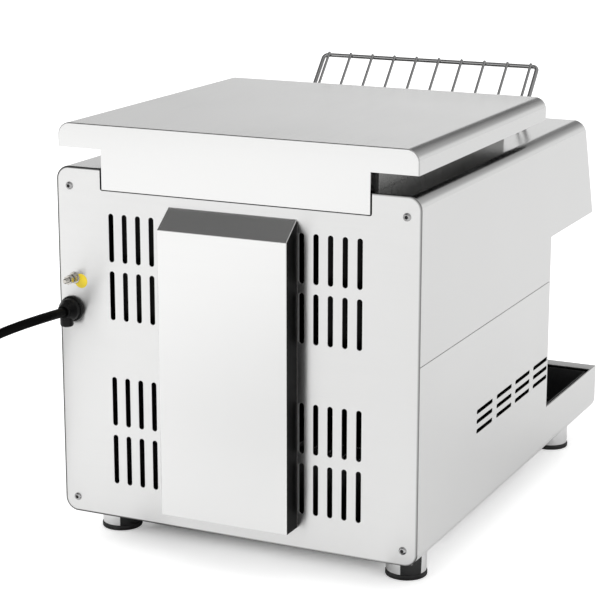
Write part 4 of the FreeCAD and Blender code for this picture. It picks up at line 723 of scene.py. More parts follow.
looks = {
    "panelSteel": {**steelLook((0.82, 0.82, 0.815), alongX, (0.3, 0.34), 0.006), "brushed": 0.85,
                   # painted shade on the panel's rounded rim: colour, depth in from the rear face
                   "rim": ((0.02, 0.02, 0.02), 1.2),
                   # painted shade line just inside the panel's outline
                   "border": ((0.09, 0.09, 0.09), 13.0, 1.75)},     # colour, corner radius, width
    # hood: painted shade on its side faces
    "hoodSteel": {**steelLook((0.81, 0.81, 0.805), alongX, (0.16, 0.2)), "brushed": 0.7,
                  "paintedFlankShade": ((0.028, 0.028, 0.028), (0.012, 0.012, 0.012), 22.0)},
    # top cover: painted shade on its underside
    "coverSteel": {**steelLook((0.78, 0.78, 0.775), alongY, (0.14, 0.18)), "underside": (0.02, 0.02, 0.02),
                   # painted shade on the cover's rear rim: colour, depth in from the rear face
                   "rim": ((0.35, 0.35, 0.35), 1.05)},
    "sideSteel": steelLook((0.79, 0.79, 0.785), alongY, (0.14, 0.18)),
    "wallSteel": {**steelLook((0.3, 0.3, 0.295), alongX, (0.24, 0.34)), "streak": 0.8},
    "baseSteel": {**steelLook((0.81, 0.81, 0.805), alongY, (0.14, 0.18)),
                  "pan": ((0.01, 0.01, 0.01), 31.0)},      # painted shade inside: colour, top of the pan
    "innerSteel": steelLook((0.55, 0.55, 0.54), alongX, (0.28, 0.42)),
    "slideSteel": {**steelLook((0.55, 0.55, 0.54), alongX, (0.28, 0.42)),
                   # painted shade at the rear, seen through the rear slots
                   "paintedRearShade": ((0.012, 0.012, 0.012), 0.222, 0.236, 0.366)},     # colour, start and end of Y, top
    "reflectorSteel": steelLook((0.8, 0.8, 0.8), alongX, (0.12, 0.2)),
    "chrome": steelLook((0.83, 0.83, 0.83), evenGrain, (0.05, 0.1), 0.01),
    "wireSteel": steelLook((0.42, 0.42, 0.42), evenGrain, (0.12, 0.2), 0.02),
    "beltSteel": steelLook((0.56, 0.54, 0.5), evenGrain, (0.22, 0.36), 0.06),
    "chainSteel": steelLook((0.3, 0.29, 0.28), evenGrain, (0.3, 0.45), 0.06),
    "bronze": steelLook((0.56, 0.38, 0.2), evenGrain, (0.35, 0.5), 0.08),
    "nickel": steelLook((0.56, 0.54, 0.5), evenGrain, (0.12, 0.2), 0.03),
    "screwSteel": steelLook((0.46, 0.46, 0.46), evenGrain, (0.14, 0.22), 0.02),
    "paintedSocketShade": steelLook((0.03, 0.03, 0.03), evenGrain, (0.3, 0.4), 0.02),
    "trayBlack": {"color": (0.017, 0.017, 0.018), "shade": 0.75, "roughness": (0.34, 0.5), "grain": (900.0,) * 3,
                  "cloud": 14.0, "smudge": 0.06, "bump": 0.12, "bumpDepth": 0.08, "metallic": 0.0,
                  "wear": (0.12, 0.12, 0.12), "wearAmount": 0.5},
    "rubber": {"color": (0.014, 0.014, 0.014), "shade": 0.7, "roughness": (0.5, 0.68), "grain": (1500.0,) * 3,
               "cloud": 30.0, "smudge": 0.06, "bump": 0.12, "bumpDepth": 0.06, "metallic": 0.0,
               "wear": (0.05, 0.05, 0.05), "wearAmount": 0.5},
    "cordJacket": {"color": (0.0025, 0.0025, 0.0025), "shade": 0.8, "roughness": (0.34, 0.46), "grain": (900.0,) * 3,
                   "cloud": 40.0, "smudge": 0.05, "bump": 0.06, "bumpDepth": 0.05, "metallic": 0.0,
                   "sockets": {"Specular IOR Level": 0.05}},
    "blackPlastic": {"color": (0.0045, 0.0045, 0.0047), "shade": 0.8, "roughness": (0.22, 0.32),
                     "grain": (1800.0,) * 3, "cloud": 25.0, "smudge": 0.05, "bump": 0.06, "bumpDepth": 0.05,
                     "metallic": 0.0, "wear": (0.03, 0.03, 0.03), "wearAmount": 0.5,
                     "sockets": {"Specular IOR Level": 0.16}},
    "glossPlastic": {"color": (0.014, 0.014, 0.015), "shade": 0.85, "roughness": (0.12, 0.2),
                     "grain": (500.0,) * 3, "cloud": 30.0, "smudge": 0.04, "bump": 0.02, "bumpDepth": 0.03,
                     "metallic": 0.0, "wear": (0.05, 0.05, 0.05), "wearAmount": 0.4},
    "creamPlastic": {"color": (0.62, 0.59, 0.52), "shade": 0.85, "roughness": (0.42, 0.56), "grain": (900.0,) * 3,
                     "cloud": 30.0, "smudge": 0.05, "bump": 0.06, "bumpDepth": 0.05, "metallic": 0.0},
    "ceramic": {"color": (0.84, 0.81, 0.74), "shade": 0.86, "roughness": (0.3, 0.5), "grain": (1200.0,) * 3,
                "cloud": 40.0, "smudge": 0.08, "bump": 0.15, "bumpDepth": 0.08, "metallic": 0.0},
    "motorPaint": {"color": (0.06, 0.063, 0.066), "shade": 0.75, "roughness": (0.38, 0.55),
                   "grain": (1000.0,) * 3, "cloud": 20.0, "smudge": 0.06, "bump": 0.12, "bumpDepth": 0.08,
                   "metallic": 0.0, "wear": (0.35, 0.35, 0.35), "wearAmount": 0.5},
    "leadBrown": paintLook((0.16, 0.07, 0.03)),
    "leadStriped": paintLook((0.3, 0.42, 0.05)),
    "leadBlue": paintLook((0.03, 0.1, 0.36)),
    "strapCloth": {"color": (0.02, 0.02, 0.021), "shade": 0.7, "roughness": (0.7, 0.9), "grain": (1600.0,) * 3,
                   "cloud": 60.0, "smudge": 0.06, "bump": 0.4, "bumpDepth": 0.12, "metallic": 0.0},
    "labelYellow": {"color": (0.97, 0.74, 0.035), "shade": 0.9, "roughness": (0.34, 0.46), "grain": (1500.0,) * 3,
                    "cloud": 120.0, "smudge": 0.05, "bump": 0.05, "bumpDepth": 0.03, "metallic": 0.0},
    "printDark": {"color": (0.03, 0.03, 0.032), "shade": 0.8, "roughness": (0.45, 0.6), "grain": (1500.0,) * 3,
                  "cloud": 120.0, "smudge": 0.05, "bump": 0.04, "bumpDepth": 0.02, "metallic": 0.0},
    "printWhite": {"color": (0.82, 0.82, 0.8), "shade": 0.9, "roughness": (0.4, 0.55), "grain": (1500.0,) * 3,
                   "cloud": 120.0, "smudge": 0.05, "bump": 0.04, "bumpDepth": 0.02, "metallic": 0.0},
    "amberLens": {"color": (0.8, 0.24, 0.02), "shade": 0.9, "roughness": (0.08, 0.16), "grain": (400.0,) * 3,
                  "cloud": 80.0, "smudge": 0.02, "bump": 0.03, "bumpDepth": 0.05, "metallic": 0.0,
                  "sockets": {"Transmission Weight": 0.45, "IOR": 1.49}},
    "quartz": {"color": (0.9, 0.88, 0.85), "shade": 0.94, "roughness": (0.18, 0.32), "grain": (300.0,) * 3,
               "cloud": 40.0, "smudge": 0.05, "bump": 0.03, "bumpDepth": 0.05, "metallic": 0.0,
               "sockets": {"Transmission Weight": 0.75, "IOR": 1.45}},
}
finishes = {name: makeFinish(name, look) for name, look in looks.items()}
print("finishes:", len(finishes))

# Sheet metal casing

casingEdges = {
    "panelRim": 1.15,          # rounding round the outside of the rear panel
    "coverFold": 1.0,          # tight folds of the top cover
    "hoodFold": 0.8,
    "cutRim": 0.2,             # cut edges, as a share of the folds above
    "sideRim": 0.4,
    "innerRim": 0.25,
}


def panelShare(x, y, z):
    # the rim on the rear face is rounded fully, slots and holes only a little
    rim = (np.abs(x) > 179.5) | (z < 36.0) | (z > 362.0)
    return np.where(rim & (y > rearFaceY - 0.1), 1.0, casingEdges["cutRim"])


def coverShare(x, y, z):
    low, high = (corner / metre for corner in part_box("top_cover"))
    ends = (y > high.y - 0.1) | (y < low.y + 0.1)
    return np.where(ends & (z > high.z - 20.0), 1.0, casingEdges["cutRim"])


def hoodShare(x, y, z):
    low, high = (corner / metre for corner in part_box("rear_hood"))
    folds = (np.abs(x) > high.x - 0.05) | (y > high.y - 0.05)
    return np.where(folds & (y > low.y + 0.5) & (z > low.z + 0.5), 1.0, casingEdges["cutRim"])


def makeCasing():
    edge = casingEdges
    dress("rear_panel", "panelSteel", edge["panelRim"], share=panelShare)
    dress("top_cover", "coverSteel", edge["coverFold"], share=coverShare)
    dress("rear_hood", "hoodSteel", edge["hoodFold"], share=hoodShare)
    dress("base_shell", "baseSteel", edge["sideRim"])
    for node in ("upper_cover_right", "upper_cover_left", "control_panel"):
        dress(node, "sideSteel", edge["sideRim"])
    for node in ("chamber_wall_right", "chamber_wall_left"):
        dress(node, "wallSteel", edge["innerRim"])
    for node in ("feed_baffle", "rack_hooks", "crumb_tray_rails"):
        dress(node, "innerSteel", edge["innerRim"])
    dress("toast_slide", "slideSteel", edge["innerRim"])
    dress("upper_reflector", "reflectorSteel", edge["innerRim"])
    dress("crumb_tray", "innerSteel", edge["innerRim"], "crumb_drawer")
    dress("toast_tray", "trayBlack", edge["innerRim"], "toast_pan")


makeCasing()
print("casing: sheet metal with rounded edges")

# Rear panel hardware

screwSettings = {
    "heads": [(-170.2, 350.5), (170.2, 350.5), (-170.2, 43.8), (170.2, 43.8)],   # x, z
    "radius": 3.8,
    "height": 2.2,
    "socket": 1.55,            # half the width of the hexagon
    "socketDepth": 1.7,
    "socketShow": 0.7,         # depth of the dark floor below the head's top, painted shade in the socket
    "steps": 36,
}


def makeScrews():
    # domed head: radius x sin, height x cos of one angle; then a hexagon straight down to its floor
    s = screwSettings
    swing = np.linspace(np.pi / 2, 0.5, 8)
    dome = np.column_stack([s["radius"] * np.sin(swing), s["height"] * np.cos(swing) / np.cos(0.5)])
    plain = np.ones(s["steps"])
    hexagon = hexRadius(s["socket"], s["steps"])
    floor = s["height"] - s["socketDepth"]
    rows = [0.0 * plain, s["radius"] * plain] + [radius * plain for radius in dome[:, 0]]
    rows += [1.1 * hexagon, hexagon, hexagon, 0.0 * plain]
    heights = [0.02, 0.02] + list(dome[:, 1]) + [s["height"], s["height"] - 0.15, floor, floor - 0.3]
    head = polarGrid(np.array(rows), heights, (0, 0, 0), outRear)
    spots = [(x, rearFaceY, z) for x, z in s["heads"]]
    grid = repeatShape(head, spots, np.repeat(np.eye(3)[None], len(spots), 0))
    piece = putMesh("panel_screw_heads", grid, finishes["screwSteel"], creaseAngle=50.0)
    standFor(piece, "rear_panel_screws")
    # a dark plug down in each hexagon socket: painted shade in the recess
    depths = [floor - 0.2, floor, s["height"] - s["socketShow"], s["height"] - s["socketShow"] - 0.1]
    shadeCup = polarGrid(np.array([0.0 * plain, 0.99 * hexagon, 0.99 * hexagon, 0.0 * plain]), depths, (0, 0, 0), outRear)
    grid = repeatShape(shadeCup, spots, np.repeat(np.eye(3)[None], len(spots), 0))
    putMesh("panel_screw_socket_shade", grid, finishes["paintedSocketShade"])


glandSettings = {
    "centre": (170.2, 232.3),
    "profile": [(0.0, -14.0), (7.2, -14.0), (7.9, -13.2), (7.9, 0.02), (11.7, 0.02), (12.2, 0.3), (12.4, 0.9),
                (12.4, 2.4), (12.1, 3.1), (11.4, 3.5), (11.1, 3.2), (10.8, 3.2), (10.6, 3.9), (10.6, 8.0),
                (10.2, 9.4), (9.2, 11.0), (7.6, 14.6), (7.0, 16.2), (6.4, 17.0), (5.2, 17.0), (4.75, 16.7),
                (4.6, 15.6), (0.0, 15.6)],
    "lugProfile": [(0.0, -2.5), (5.9, -2.5), (6.4, -4.0), (6.4, -13.0), (6.0, -14.6), (5.0, -15.3),
                   (3.4, -15.3), (3.1, -15.0), (3.0, -12.0), (0.0, -11.7)],
    "lugReach": 9.5,
    "nut": (10.0, 5.5),
}


def makeGland():
    # turned flange, body and mouth; a hanging lug with a screw hole; a hexagon nut behind the panel
    s = glandSettings
    x, z = s["centre"]
    body = lathe(s["profile"], (x, rearFaceY, z), outRear, 56)
    lug = lathe(s["lugProfile"], (x + 1.0, rearFaceY + s["lugReach"], z), upZ, 32)
    half, thick = s["nut"]
    ring = hexRadius(half, 48)
    plain = np.full(48, 8.0)
    rows = np.array([plain, np.minimum(ring, half * 1.06), ring, ring, np.minimum(ring, half * 1.06), plain])
    nut = polarGrid(rows, [0, 0, 0.6, thick - 0.6, thick, thick], (x, rearFaceY - 1.5 - thick, z), outRear, True)
    piece = putMesh("cable_gland_body", joinGrids([body, lug, nut]), finishes["blackPlastic"])
    return standFor(piece, "cable_gland")


earthSettings = {
    "centre": (167.3, 262.4),
    "radius": 2.5,
    "ends": (-12.0, 18.0),     # from the panel face, outwards
    "pitch": 0.8,
    "threadDepth": 0.34,
    "nutWidth": 4.0,
    "nutStarts": (-5.5, 1.0, 8.0),
    "nutHeight": 4.0,
    "washer": (5.6, 1.0),
    "label": (160.3, 259.9, 6.9),
    "labelThickness": 0.14,
}


def makeEarthTerminal():
    # thread: radius - depth x triangle wave of (height / pitch - angle / full turn), fading into the end chamfers
    s = earthSettings
    x, z = s["centre"]
    low, high = s["ends"]
    centre = (x, rearFaceY, z)
    heights = np.linspace(low, high, 260)
    angle = np.linspace(0.0, 1.0, 20, endpoint=False)
    wave = np.abs(((heights[:, None] / s["pitch"] - angle) % 1.0) * 2 - 1)
    chamfer = np.clip(np.minimum(heights - low, high - heights), 0.0, 0.9)[:, None] - 0.9
    radii = np.minimum(s["radius"] - s["threadDepth"] * wave, s["radius"] + chamfer)
    point = np.zeros((1, 20))
    rod = polarGrid(np.vstack([point, radii, point]), np.concatenate([[low], heights, [high]]), centre, outRear)
    standFor(putMesh("earth_stud_thread", rod, finishes["nickel"]), "earth_stud")
    ring = hexRadius(s["nutWidth"], 48)
    bore = np.full(48, s["radius"] + 0.02)
    tall = s["nutHeight"]
    crown = np.minimum(ring, s["nutWidth"] * 1.03)
    rows = np.array([bore, crown, ring, ring, crown, bore])
    nuts = []
    for start in s["nutStarts"]:
        seat = np.array(centre) + start * outRear
        nuts.append(polarGrid(rows, [0, 0, 0.45, tall - 0.45, tall, tall], seat, outRear, True))
    wide, thick = s["washer"]
    profile = [(s["radius"] + 0.1, 0), (wide - 0.25, 0), (wide, 0.25), (wide, thick - 0.25), (wide - 0.25, thick),
               (s["radius"] + 0.1, thick)]
    nuts.append(lathe(profile, centre, outRear, 40, True))
    standFor(putMesh("earth_terminal_nuts", joinGrids(nuts), finishes["nickel"]), "earth_nuts")
    labelX, labelZ, radius = s["label"]
    deep = s["labelThickness"]
    profile = [(0.0, 0.02), (radius, 0.02), (radius, deep * 0.6), (radius - 0.15, deep), (0.0, deep)]
    label = lathe(profile, (labelX, rearFaceY, labelZ), outRear, 56)
    putMesh("earth_label", label, finishes["labelYellow"])


makeScrews()
gland = makeGland()
makeEarthTerminal()
print("rear hardware: screws, gland, earth terminal")

# Feet

footSettings = {
    "places": [(x, y) for x in (-152.4, 152.4) for y in (204.2, -217.5)],
    "sleeve": [(17.05, 5.0), (18.5, 5.0), (18.9, 5.2), (19.0, 5.7), (19.0, 28.2), (18.8, 28.8), (18.3, 29.0),
               (3.3, 29.0), (3.3, 27.0), (17.05, 27.0)],
    "pad": [(7.0, 0.0), (18.4, 0.0), (19.3, 0.3), (19.8, 1.1), (19.8, 2.1), (19.5, 2.35), (19.5, 2.65),
            (19.8, 2.9), (19.8, 4.0), (19.5, 4.7), (18.8, 5.0), (17.0, 5.0), (17.0, 26.9), (3.3, 26.9),
            (3.3, 8.0), (7.0, 8.0)],
}


def makeFeet():
    s = footSettings
    spots = [(x, y, 0.0) for x, y in s["places"]]
    frames = np.repeat(np.eye(3)[None], len(spots), 0)
    sleeve = repeatShape(lathe(s["sleeve"], (0, 0, 0), upZ, 72, True), spots, frames)
    pad = repeatShape(lathe(s["pad"], (0, 0, 0), upZ, 72, True), spots, frames)
    standFor(putMesh("foot_sleeves_turned", sleeve, finishes["chrome"]), "foot_sleeves")
    standFor(putMesh("foot_pads_moulded", pad, finishes["rubber"]), "foot_pads")


makeFeet()
dress("foot_screws", "nickel", 0.3)
print("feet: sleeves and pads")

# Feed rack

rackSettings = {
    "lean": 42.0,              # degrees from upright, forwards
    "top": (475.1, 421.6),     # depth from the rear face, height
    "halfWidth": 125.6,
    "length": 120.0,
    "frameRadius": 2.25,
    "cornerRadius": 5.0,
    "barHalfLength": 134.0,
    "wires": 10,
    "wirePitch": 26.36,
    "wireRadius": 1.5,
    "wireOver": 1.3,
    "wireSink": 0.4,
    "bead": (2.1, 1.5),
}


def rackSpot(x, down, behind=0.0):
    # point in the leaning plane of the rack
    s = rackSettings
    lean = math.radians(s["lean"])
    depth, height = s["top"]
    depth = depth - down * math.sin(lean) - behind * math.cos(lean)
    return np.array([x, rearFaceY - depth, height - down * math.cos(lean) + behind * math.sin(lean)])


def makeRack():
    # bent frame, cross bar and wires as round rods, with a weld bead at each crossing
    s = rackSettings
    half, length = s["halfWidth"], s["length"]
    outward = np.cross(rackSpot(1, 0) - rackSpot(0, 0), rackSpot(0, 1) - rackSpot(0, 0))
    path = roundedPath([rackSpot(-half, length), rackSpot(-half, 0), rackSpot(half, 0), rackSpot(half, length)],
                       s["cornerRadius"])
    rods = [tubeAlong(path, s["frameRadius"], outward, 18)]
    bar = roundEnds(rackSpot(-s["barHalfLength"], length), rackSpot(s["barHalfLength"], length), s["frameRadius"])
    rods.append(tubeAlong(*bar, outward, 18))
    behind = s["frameRadius"] + s["wireRadius"] - s["wireSink"]
    beads = []
    for x in (np.arange(s["wires"]) - (s["wires"] - 1) / 2) * s["wirePitch"]:
        top, foot = rackSpot(x, -s["wireOver"], behind), rackSpot(x, length + s["wireOver"], behind)
        rods.append(tubeAlong(*roundEnds(top, foot, s["wireRadius"]), np.array([1.0, 0.0, 0.0]), 14))
        beads += [rackSpot(x, down, behind - s["wireRadius"]) for down in (0.0, length)]
    beads += [rackSpot(side * half, length) for side in (-1, 1)]
    swing = np.linspace(0.0, np.pi, 8)
    wide, high = s["bead"]
    bead = lathe(np.column_stack([wide * np.sin(swing), -high * np.cos(swing)]), (0, 0, 0), upZ, 10)
    rods.append(repeatShape(bead, beads, np.repeat(np.eye(3)[None], len(beads), 0)))
    standFor(putMesh("feed_rack_wires", joinGrids(rods), finishes["wireSteel"], "rack"), "feed_rack")


makeRack()
print("feed rack: frame, wires and weld beads")

# Conveyor and drive

conveyorSettings = {
    "height": 293.0,
    "depths": (75.0, 385.0),   # drive and idler shafts, from the rear face
    "radius": 19.0,
    "rods": 44,
    "rodRadius": 1.25,
    "halfWidth": 122.0,
    "strands": (-120.0, -60.0, 0.0, 60.0, 120.0),
    "linkWidth": 3.0,
    "linkThickness": 0.7,
    "linkShift": 0.85,
}
chainSettings = {
    "x": 150.0,
    "shaft": (75.0, 293.0, 20.0),    # depth, height, radius of the chain line
    "motor": (150.0, 95.0, 28.0),
    "links": 92,
    "plateWidth": 4.6,
    "plateThickness": 0.6,
    "plateShifts": (1.35, 2.05),
    "rollerRadius": 1.9,
    "rollerHalf": 1.2,
    "pinRadius": 0.8,
    "pinHalf": 2.45,
}


def loopSpots(first, second, count):
    # closed line round two wheels (depth, height, radius): two arcs and their tangents, in even steps
    centres = np.array([(rearFaceY - depth, height) for depth, height, radius in (first, second)])
    reach = centres[1] - centres[0]
    heading = math.atan2(reach[1], reach[0])
    lead = math.acos((first[2] - second[2]) / np.linalg.norm(reach))
    far = np.linspace(heading + lead, heading - lead, 90)
    near = np.linspace(heading - lead, heading + lead - 2 * np.pi, 180)
    line = np.concatenate([centres[1] + second[2] * np.column_stack([np.cos(far), np.sin(far)]),
                           centres[0] + first[2] * np.column_stack([np.cos(near), np.sin(near)])])
    line = np.concatenate([line, line[:1]])
    run = np.concatenate([[0.0], np.cumsum(np.linalg.norm(np.diff(line, axis=0), axis=1))])
    steps = np.arange(count) * run[-1] / count
    return np.column_stack([np.interp(steps, run, line[:, 0]), np.interp(steps, run, line[:, 1])])


def linkFrames(spots):
    # for each spot: the middle of the run to the next one, and axes along it, up from it and across
    onward = np.roll(spots, -1, 0) - spots
    along = np.column_stack([np.zeros(len(spots)), onward])
    along /= np.linalg.norm(along, axis=1)[:, None]
    across = np.repeat([[1.0, 0.0, 0.0]], len(spots), 0)
    middles = np.column_stack([np.zeros(len(spots)), spots + onward / 2])
    return middles, np.stack([along, np.cross(across, along), across], axis=1), np.linalg.norm(onward[0])


def linkPlate(length, width, thickness, steps=5):
    # flat link with round ends, closed by a pole in the middle of each face
    outline = slotLoop((-length / 2 - width / 2, 0.0), (length / 2 + width / 2, 0.0), width, steps)
    half = thickness / 2
    rows = [(0.0, -half), (0.92, -half), (1.0, -half * 0.5), (1.0, half * 0.5), (0.92, half), (0.0, half)]
    return loftOutline(outline, rows, (0, 0, 0), (0, 0, 1), (1, 0, 0))


def rodShape(radius, half, steps=10):
    # short rod with rounded ends, along its own third axis
    edge = min(radius, half) * 0.3
    profile = [(0.0, -half), (radius - edge, -half), (radius, edge - half), (radius, half - edge),
               (radius - edge, half), (0.0, half)]
    return lathe(profile, (0, 0, 0), upZ, steps)


def makeBelt():
    s = conveyorSettings
    rear, front = s["depths"]
    spots = loopSpots((rear, s["height"], s["radius"]), (front, s["height"], s["radius"]), s["rods"])
    middles, frames, pitch = linkFrames(spots)
    pins = np.column_stack([np.zeros(len(spots)), spots])
    parts = [repeatShape(rodShape(s["rodRadius"], s["halfWidth"]), pins, frames)]
    plate = linkPlate(pitch, s["linkWidth"], s["linkThickness"])
    side = s["linkShift"] * np.where(np.arange(len(spots)) % 2 == 0, 1.0, -1.0)
    for x in s["strands"]:
        shift = np.column_stack([x + side, np.zeros((len(spots), 2))])
        parts.append(repeatShape(plate, middles + shift, frames))
    standFor(putMesh("conveyor_belt_links", joinGrids(parts), finishes["beltSteel"]), "conveyor_belt")


def makeChain():
    s = chainSettings
    spots = loopSpots(s["shaft"], s["motor"], s["links"])
    middles, frames, pitch = linkFrames(spots)
    middles[:, 0] += s["x"]
    pins = np.column_stack([np.full(len(spots), s["x"]), spots])
    plate = linkPlate(pitch, s["plateWidth"], s["plateThickness"])
    parts = [repeatShape(rodShape(s["rollerRadius"], s["rollerHalf"]), pins, frames),
             repeatShape(rodShape(s["pinRadius"], s["pinHalf"], 8), pins, frames)]
    gap = np.where(np.arange(len(spots)) % 2 == 0, *s["plateShifts"])
    for side in (-1, 1):
        shift = np.column_stack([side * gap, np.zeros((len(spots), 2))])
        parts.append(repeatShape(plate, middles + shift, frames))
    standFor(putMesh("drive_chain_links", joinGrids(parts), finishes["chainSteel"]), "drive_chain")


makeBelt()
makeChain()
for node, body in (("drive_shaft", "conveyor_drive"), ("drive_belt_wheels", "conveyor_drive"),
                   ("drive_sprocket", "conveyor_drive"), ("idler_shaft", "conveyor_idler"),
                   ("idler_belt_wheels", "conveyor_idler"), ("motor_shaft", "motor_output"),
                   ("motor_sprocket", "motor_output")):
    dress(node, "innerSteel", 0.3, body)
dress("shaft_bushes", "bronze", 0.3)
dress("gearmotor", "motorPaint", 0.8)
print("conveyor: belt links, chain links, shafts and wheels")

# Heating tubes

heaterSettings = {
    "rows": {"upper_element_": (358.0, (110.0, 195.0, 280.0)), "lower_element_": (293.0, (140.0, 225.0, 310.0))},
    "halfLength": 146.0,
    "radius": 5.0,
    "glass": 0.9,
    "pin": (1.5, 14.0),
    "coilRadius": 2.7,
    "coilWire": 0.45,
    "coilTurns": 64,
    "coilHalf": 128.0,
}


def makeHeaters():
    # glass: a ring section carried round; coil: radius x (cos, sin) of the angle while x runs along the tube
    s = heaterSettings
    half, radius = s["halfLength"], s["radius"]
    inner = radius - s["glass"]
    across = np.array([1.0, 0.0, 0.0])
    profile = [(inner, 0.3 - half), (radius - 0.4, -half), (radius, 0.5 - half), (radius, half - 0.5),
               (radius - 0.4, half), (inner, half - 0.3)]
    pinRadius, pinLength = s["pin"]
    stub = half - 14.0
    end = [(0.0, stub), (inner - 0.1, stub), (inner - 0.1, half + 0.4), (pinRadius, half + 0.4),
           (pinRadius, half + pinLength - 0.5), (pinRadius - 0.5, half + pinLength), (0.0, half + pinLength)]
    turn = np.linspace(0.0, 2 * np.pi * s["coilTurns"], s["coilTurns"] * 10)
    run = np.linspace(-s["coilHalf"], s["coilHalf"], len(turn))
    coil = np.column_stack([run, s["coilRadius"] * np.cos(turn), s["coilRadius"] * np.sin(turn)])
    wires = []
    for name, (height, depths) in s["rows"].items():
        for i, depth in enumerate(depths):
            centre = np.array([0.0, rearFaceY - depth, height])
            tube = lathe(profile, centre, across, 28, True)
            standFor(putMesh(name + str(i + 1) + "_glass", tube, finishes["quartz"]), name + str(i + 1))
            wires += [tubeAlong(coil + centre, s["coilWire"], across, 5)]
            wires += [lathe(end, centre, side * across, 20) for side in (-1, 1)]
    putMesh("heating_coils", joinGrids(wires), finishes["chainSteel"])


makeHeaters()
dress("element_holders", "ceramic", 0.5)
print("heating tubes: glass, coils and holders")

# Controls on the front

controlSettings = {
    "skirt": (19.0, 1.0, 5.0),         # radius, start, end
    "grip": (15.6, 14.2, 19.0),        # low radius, top radius, end
    "flutes": 12,
    "fluteRadius": 3.0,
    "fluteRing": 17.6,
    "steps": 192,
    "pointer": (1.4, 3.0, 13.2),       # width, start and end from the middle
    "tickRadii": (22.5, 25.5),
    "numberRadius": 29.5,
    "numberSize": 6.0,
    "speedMarks": 9,
    "heatMarks": 3,
    "switchCentre": -60.0,
    "rockerTip": -8.0,
    "rockerPin": -3.0,
    "lampCentre": -105.0,
}
panelSpot, panelOut = jointLine("speed_turn")
panelUp = np.cross(panelOut, np.array([1.0, 0.0, 0.0]))


def onPanel(x, up=0.0, out=0.0):
    # point beside the knobs' line: across, up the slope and out of it
    return np.array([x, panelSpot[1], panelSpot[2]]) + up * panelUp + out * panelOut


def makeKnob(node, joint, body):
    # radius = smaller of the tapered grip and the flute circles; the top is dished round a flat rim
    s = controlSettings
    centre, axis = jointLine(joint)
    angle = np.linspace(0.0, 2 * np.pi, s["steps"], endpoint=False)
    pitch = 2 * np.pi / s["flutes"]
    away = (angle % pitch) - pitch / 2
    side = s["fluteRing"] * np.sin(away)
    inside = np.sqrt(np.clip(s["fluteRadius"] ** 2 - side ** 2, 0.0, None))
    flute = np.where(inside > 0, s["fluteRing"] * np.cos(away) - inside, 99.0)
    wide, start, end = s["skirt"]
    low, high, top = s["grip"]
    plain = np.ones(s["steps"])
    climb = np.linspace(end + 0.6, top - 1.2, 8)
    grip = low + (high - low) * (climb - end) / (top - end)
    crown = [(high - 0.15, top - 0.7), (high - 0.6, top - 0.2), (high - 1.3, top)]
    rows = [0.0 * plain, (wide - 0.7) * plain, wide * plain, wide * plain, (wide - 0.6) * plain,
            np.minimum(low + 0.4, flute + 0.6)]
    heights = [start, start, start + 0.6, end - 0.9, end - 0.2, end]
    rows += [np.minimum(radius, flute) for radius in grip] + [np.minimum(radius, flute) for radius, z in crown]
    heights += list(climb) + [z for radius, z in crown]
    rows += [9.6 * plain, 9.0 * plain, 0.0 * plain]
    heights += [top, top - 0.5, top - 0.5]
    spindle = lathe([(0.0, -11.0), (2.6, -11.0), (3.0, -10.5), (3.0, start), (0.0, start)], centre, axis, 24)
    shape = joinGrids([polarGrid(np.array(rows), heights, centre, axis), spindle])
    standFor(putMesh(node + "_grip", shape, finishes["blackPlastic"], body, 44.0), node)
    width, near, far = s["pointer"]
    bar = slotLoop((0.0, near), (0.0, far), width, 6)
    line = loftOutline(bar - bar.mean(0), [(0.0, -0.5), (1.0, -0.5), (1.0, 0.1), (0.9, 0.25), (0.0, 0.25)],
                       centre + axis * top + panelUp * bar.mean(0)[1], axis, (1, 0, 0))
    putMesh(node + "_pointer", line, finishes["printWhite"], body)


def flatText(text, size):
    # characters as a thin flat mesh round their own middle
    curve = bpy.data.curves.new("number", "FONT")
    curve.body = text
    curve.size = size * metre
    curve.extrude = 0.03 * metre
    curve.align_x, curve.align_y = "CENTER", "CENTER"
    holder = bpy.data.objects.new("holder", curve)
    bpy.context.scene.collection.objects.link(holder)
    graph = bpy.context.evaluated_depsgraph_get()
    mesh = bpy.data.meshes.new_from_object(holder.evaluated_get(graph))
    bpy.data.objects.remove(holder)
    return mesh


def makeDial(name, joint, count, labels):
    # ticks fan out round the knob from its low to its high limit, with a plain number beyond each
    s = controlSettings
    centre = jointLine(joint)[0]
    reach = next(item for item in frame["joints"] if item["name"] == joint)["range_deg"]
    turn = np.radians(np.linspace(reach[1], reach[0], count))
    away = -np.sin(turn)[:, None] * np.array([1.0, 0.0, 0.0]) + np.cos(turn)[:, None] * panelUp
    inner, outer = s["tickRadii"]
    tick = loftOutline(slotLoop((0.0, inner - outer), (0.0, outer - inner), 1.4, 5) / 2,
                       [(0.0, 0.0), (1.0, 0.0), (1.0, 0.06), (0.0, 0.06)], (0, 0, 0), (0, 0, 1), (1, 0, 0))
    frames = np.stack([np.cross(away, panelOut), away, np.repeat(panelOut[None], count, 0)], axis=1)
    ticks = repeatShape(tick, centre + away * (inner + outer) / 2, frames)
    putMesh(name + "_ticks", ticks, finishes["printDark"])
    for label, direction in zip(labels, away):
        mesh = standSheet(flatText(label, s["numberSize"]), centre + direction * s["numberRadius"] + 0.035 * panelOut,
                          (1, 0, 0), panelUp)
        piece = putPiece(name + "_number_" + label, mesh, finishes["printDark"], "casing", 30.0)


def rockerSpots(shape):
    # a shape in the rocker's own axes, tipped round its pin and set on the panel
    s = controlSettings
    points, faces = shape
    tip = math.radians(s["rockerTip"])
    up, out = points[:, 1], points[:, 2] - s["rockerPin"]
    turnedUp = up * math.cos(tip) - out * math.sin(tip)
    turnedOut = up * math.sin(tip) + out * math.cos(tip) + s["rockerPin"]
    across = (s["switchCentre"] + points[:, :1]) * np.array([1.0, 0.0, 0.0])
    base = onPanel(0.0)
    return base + across + turnedUp[:, None] * panelUp + turnedOut[:, None] * panelOut, faces


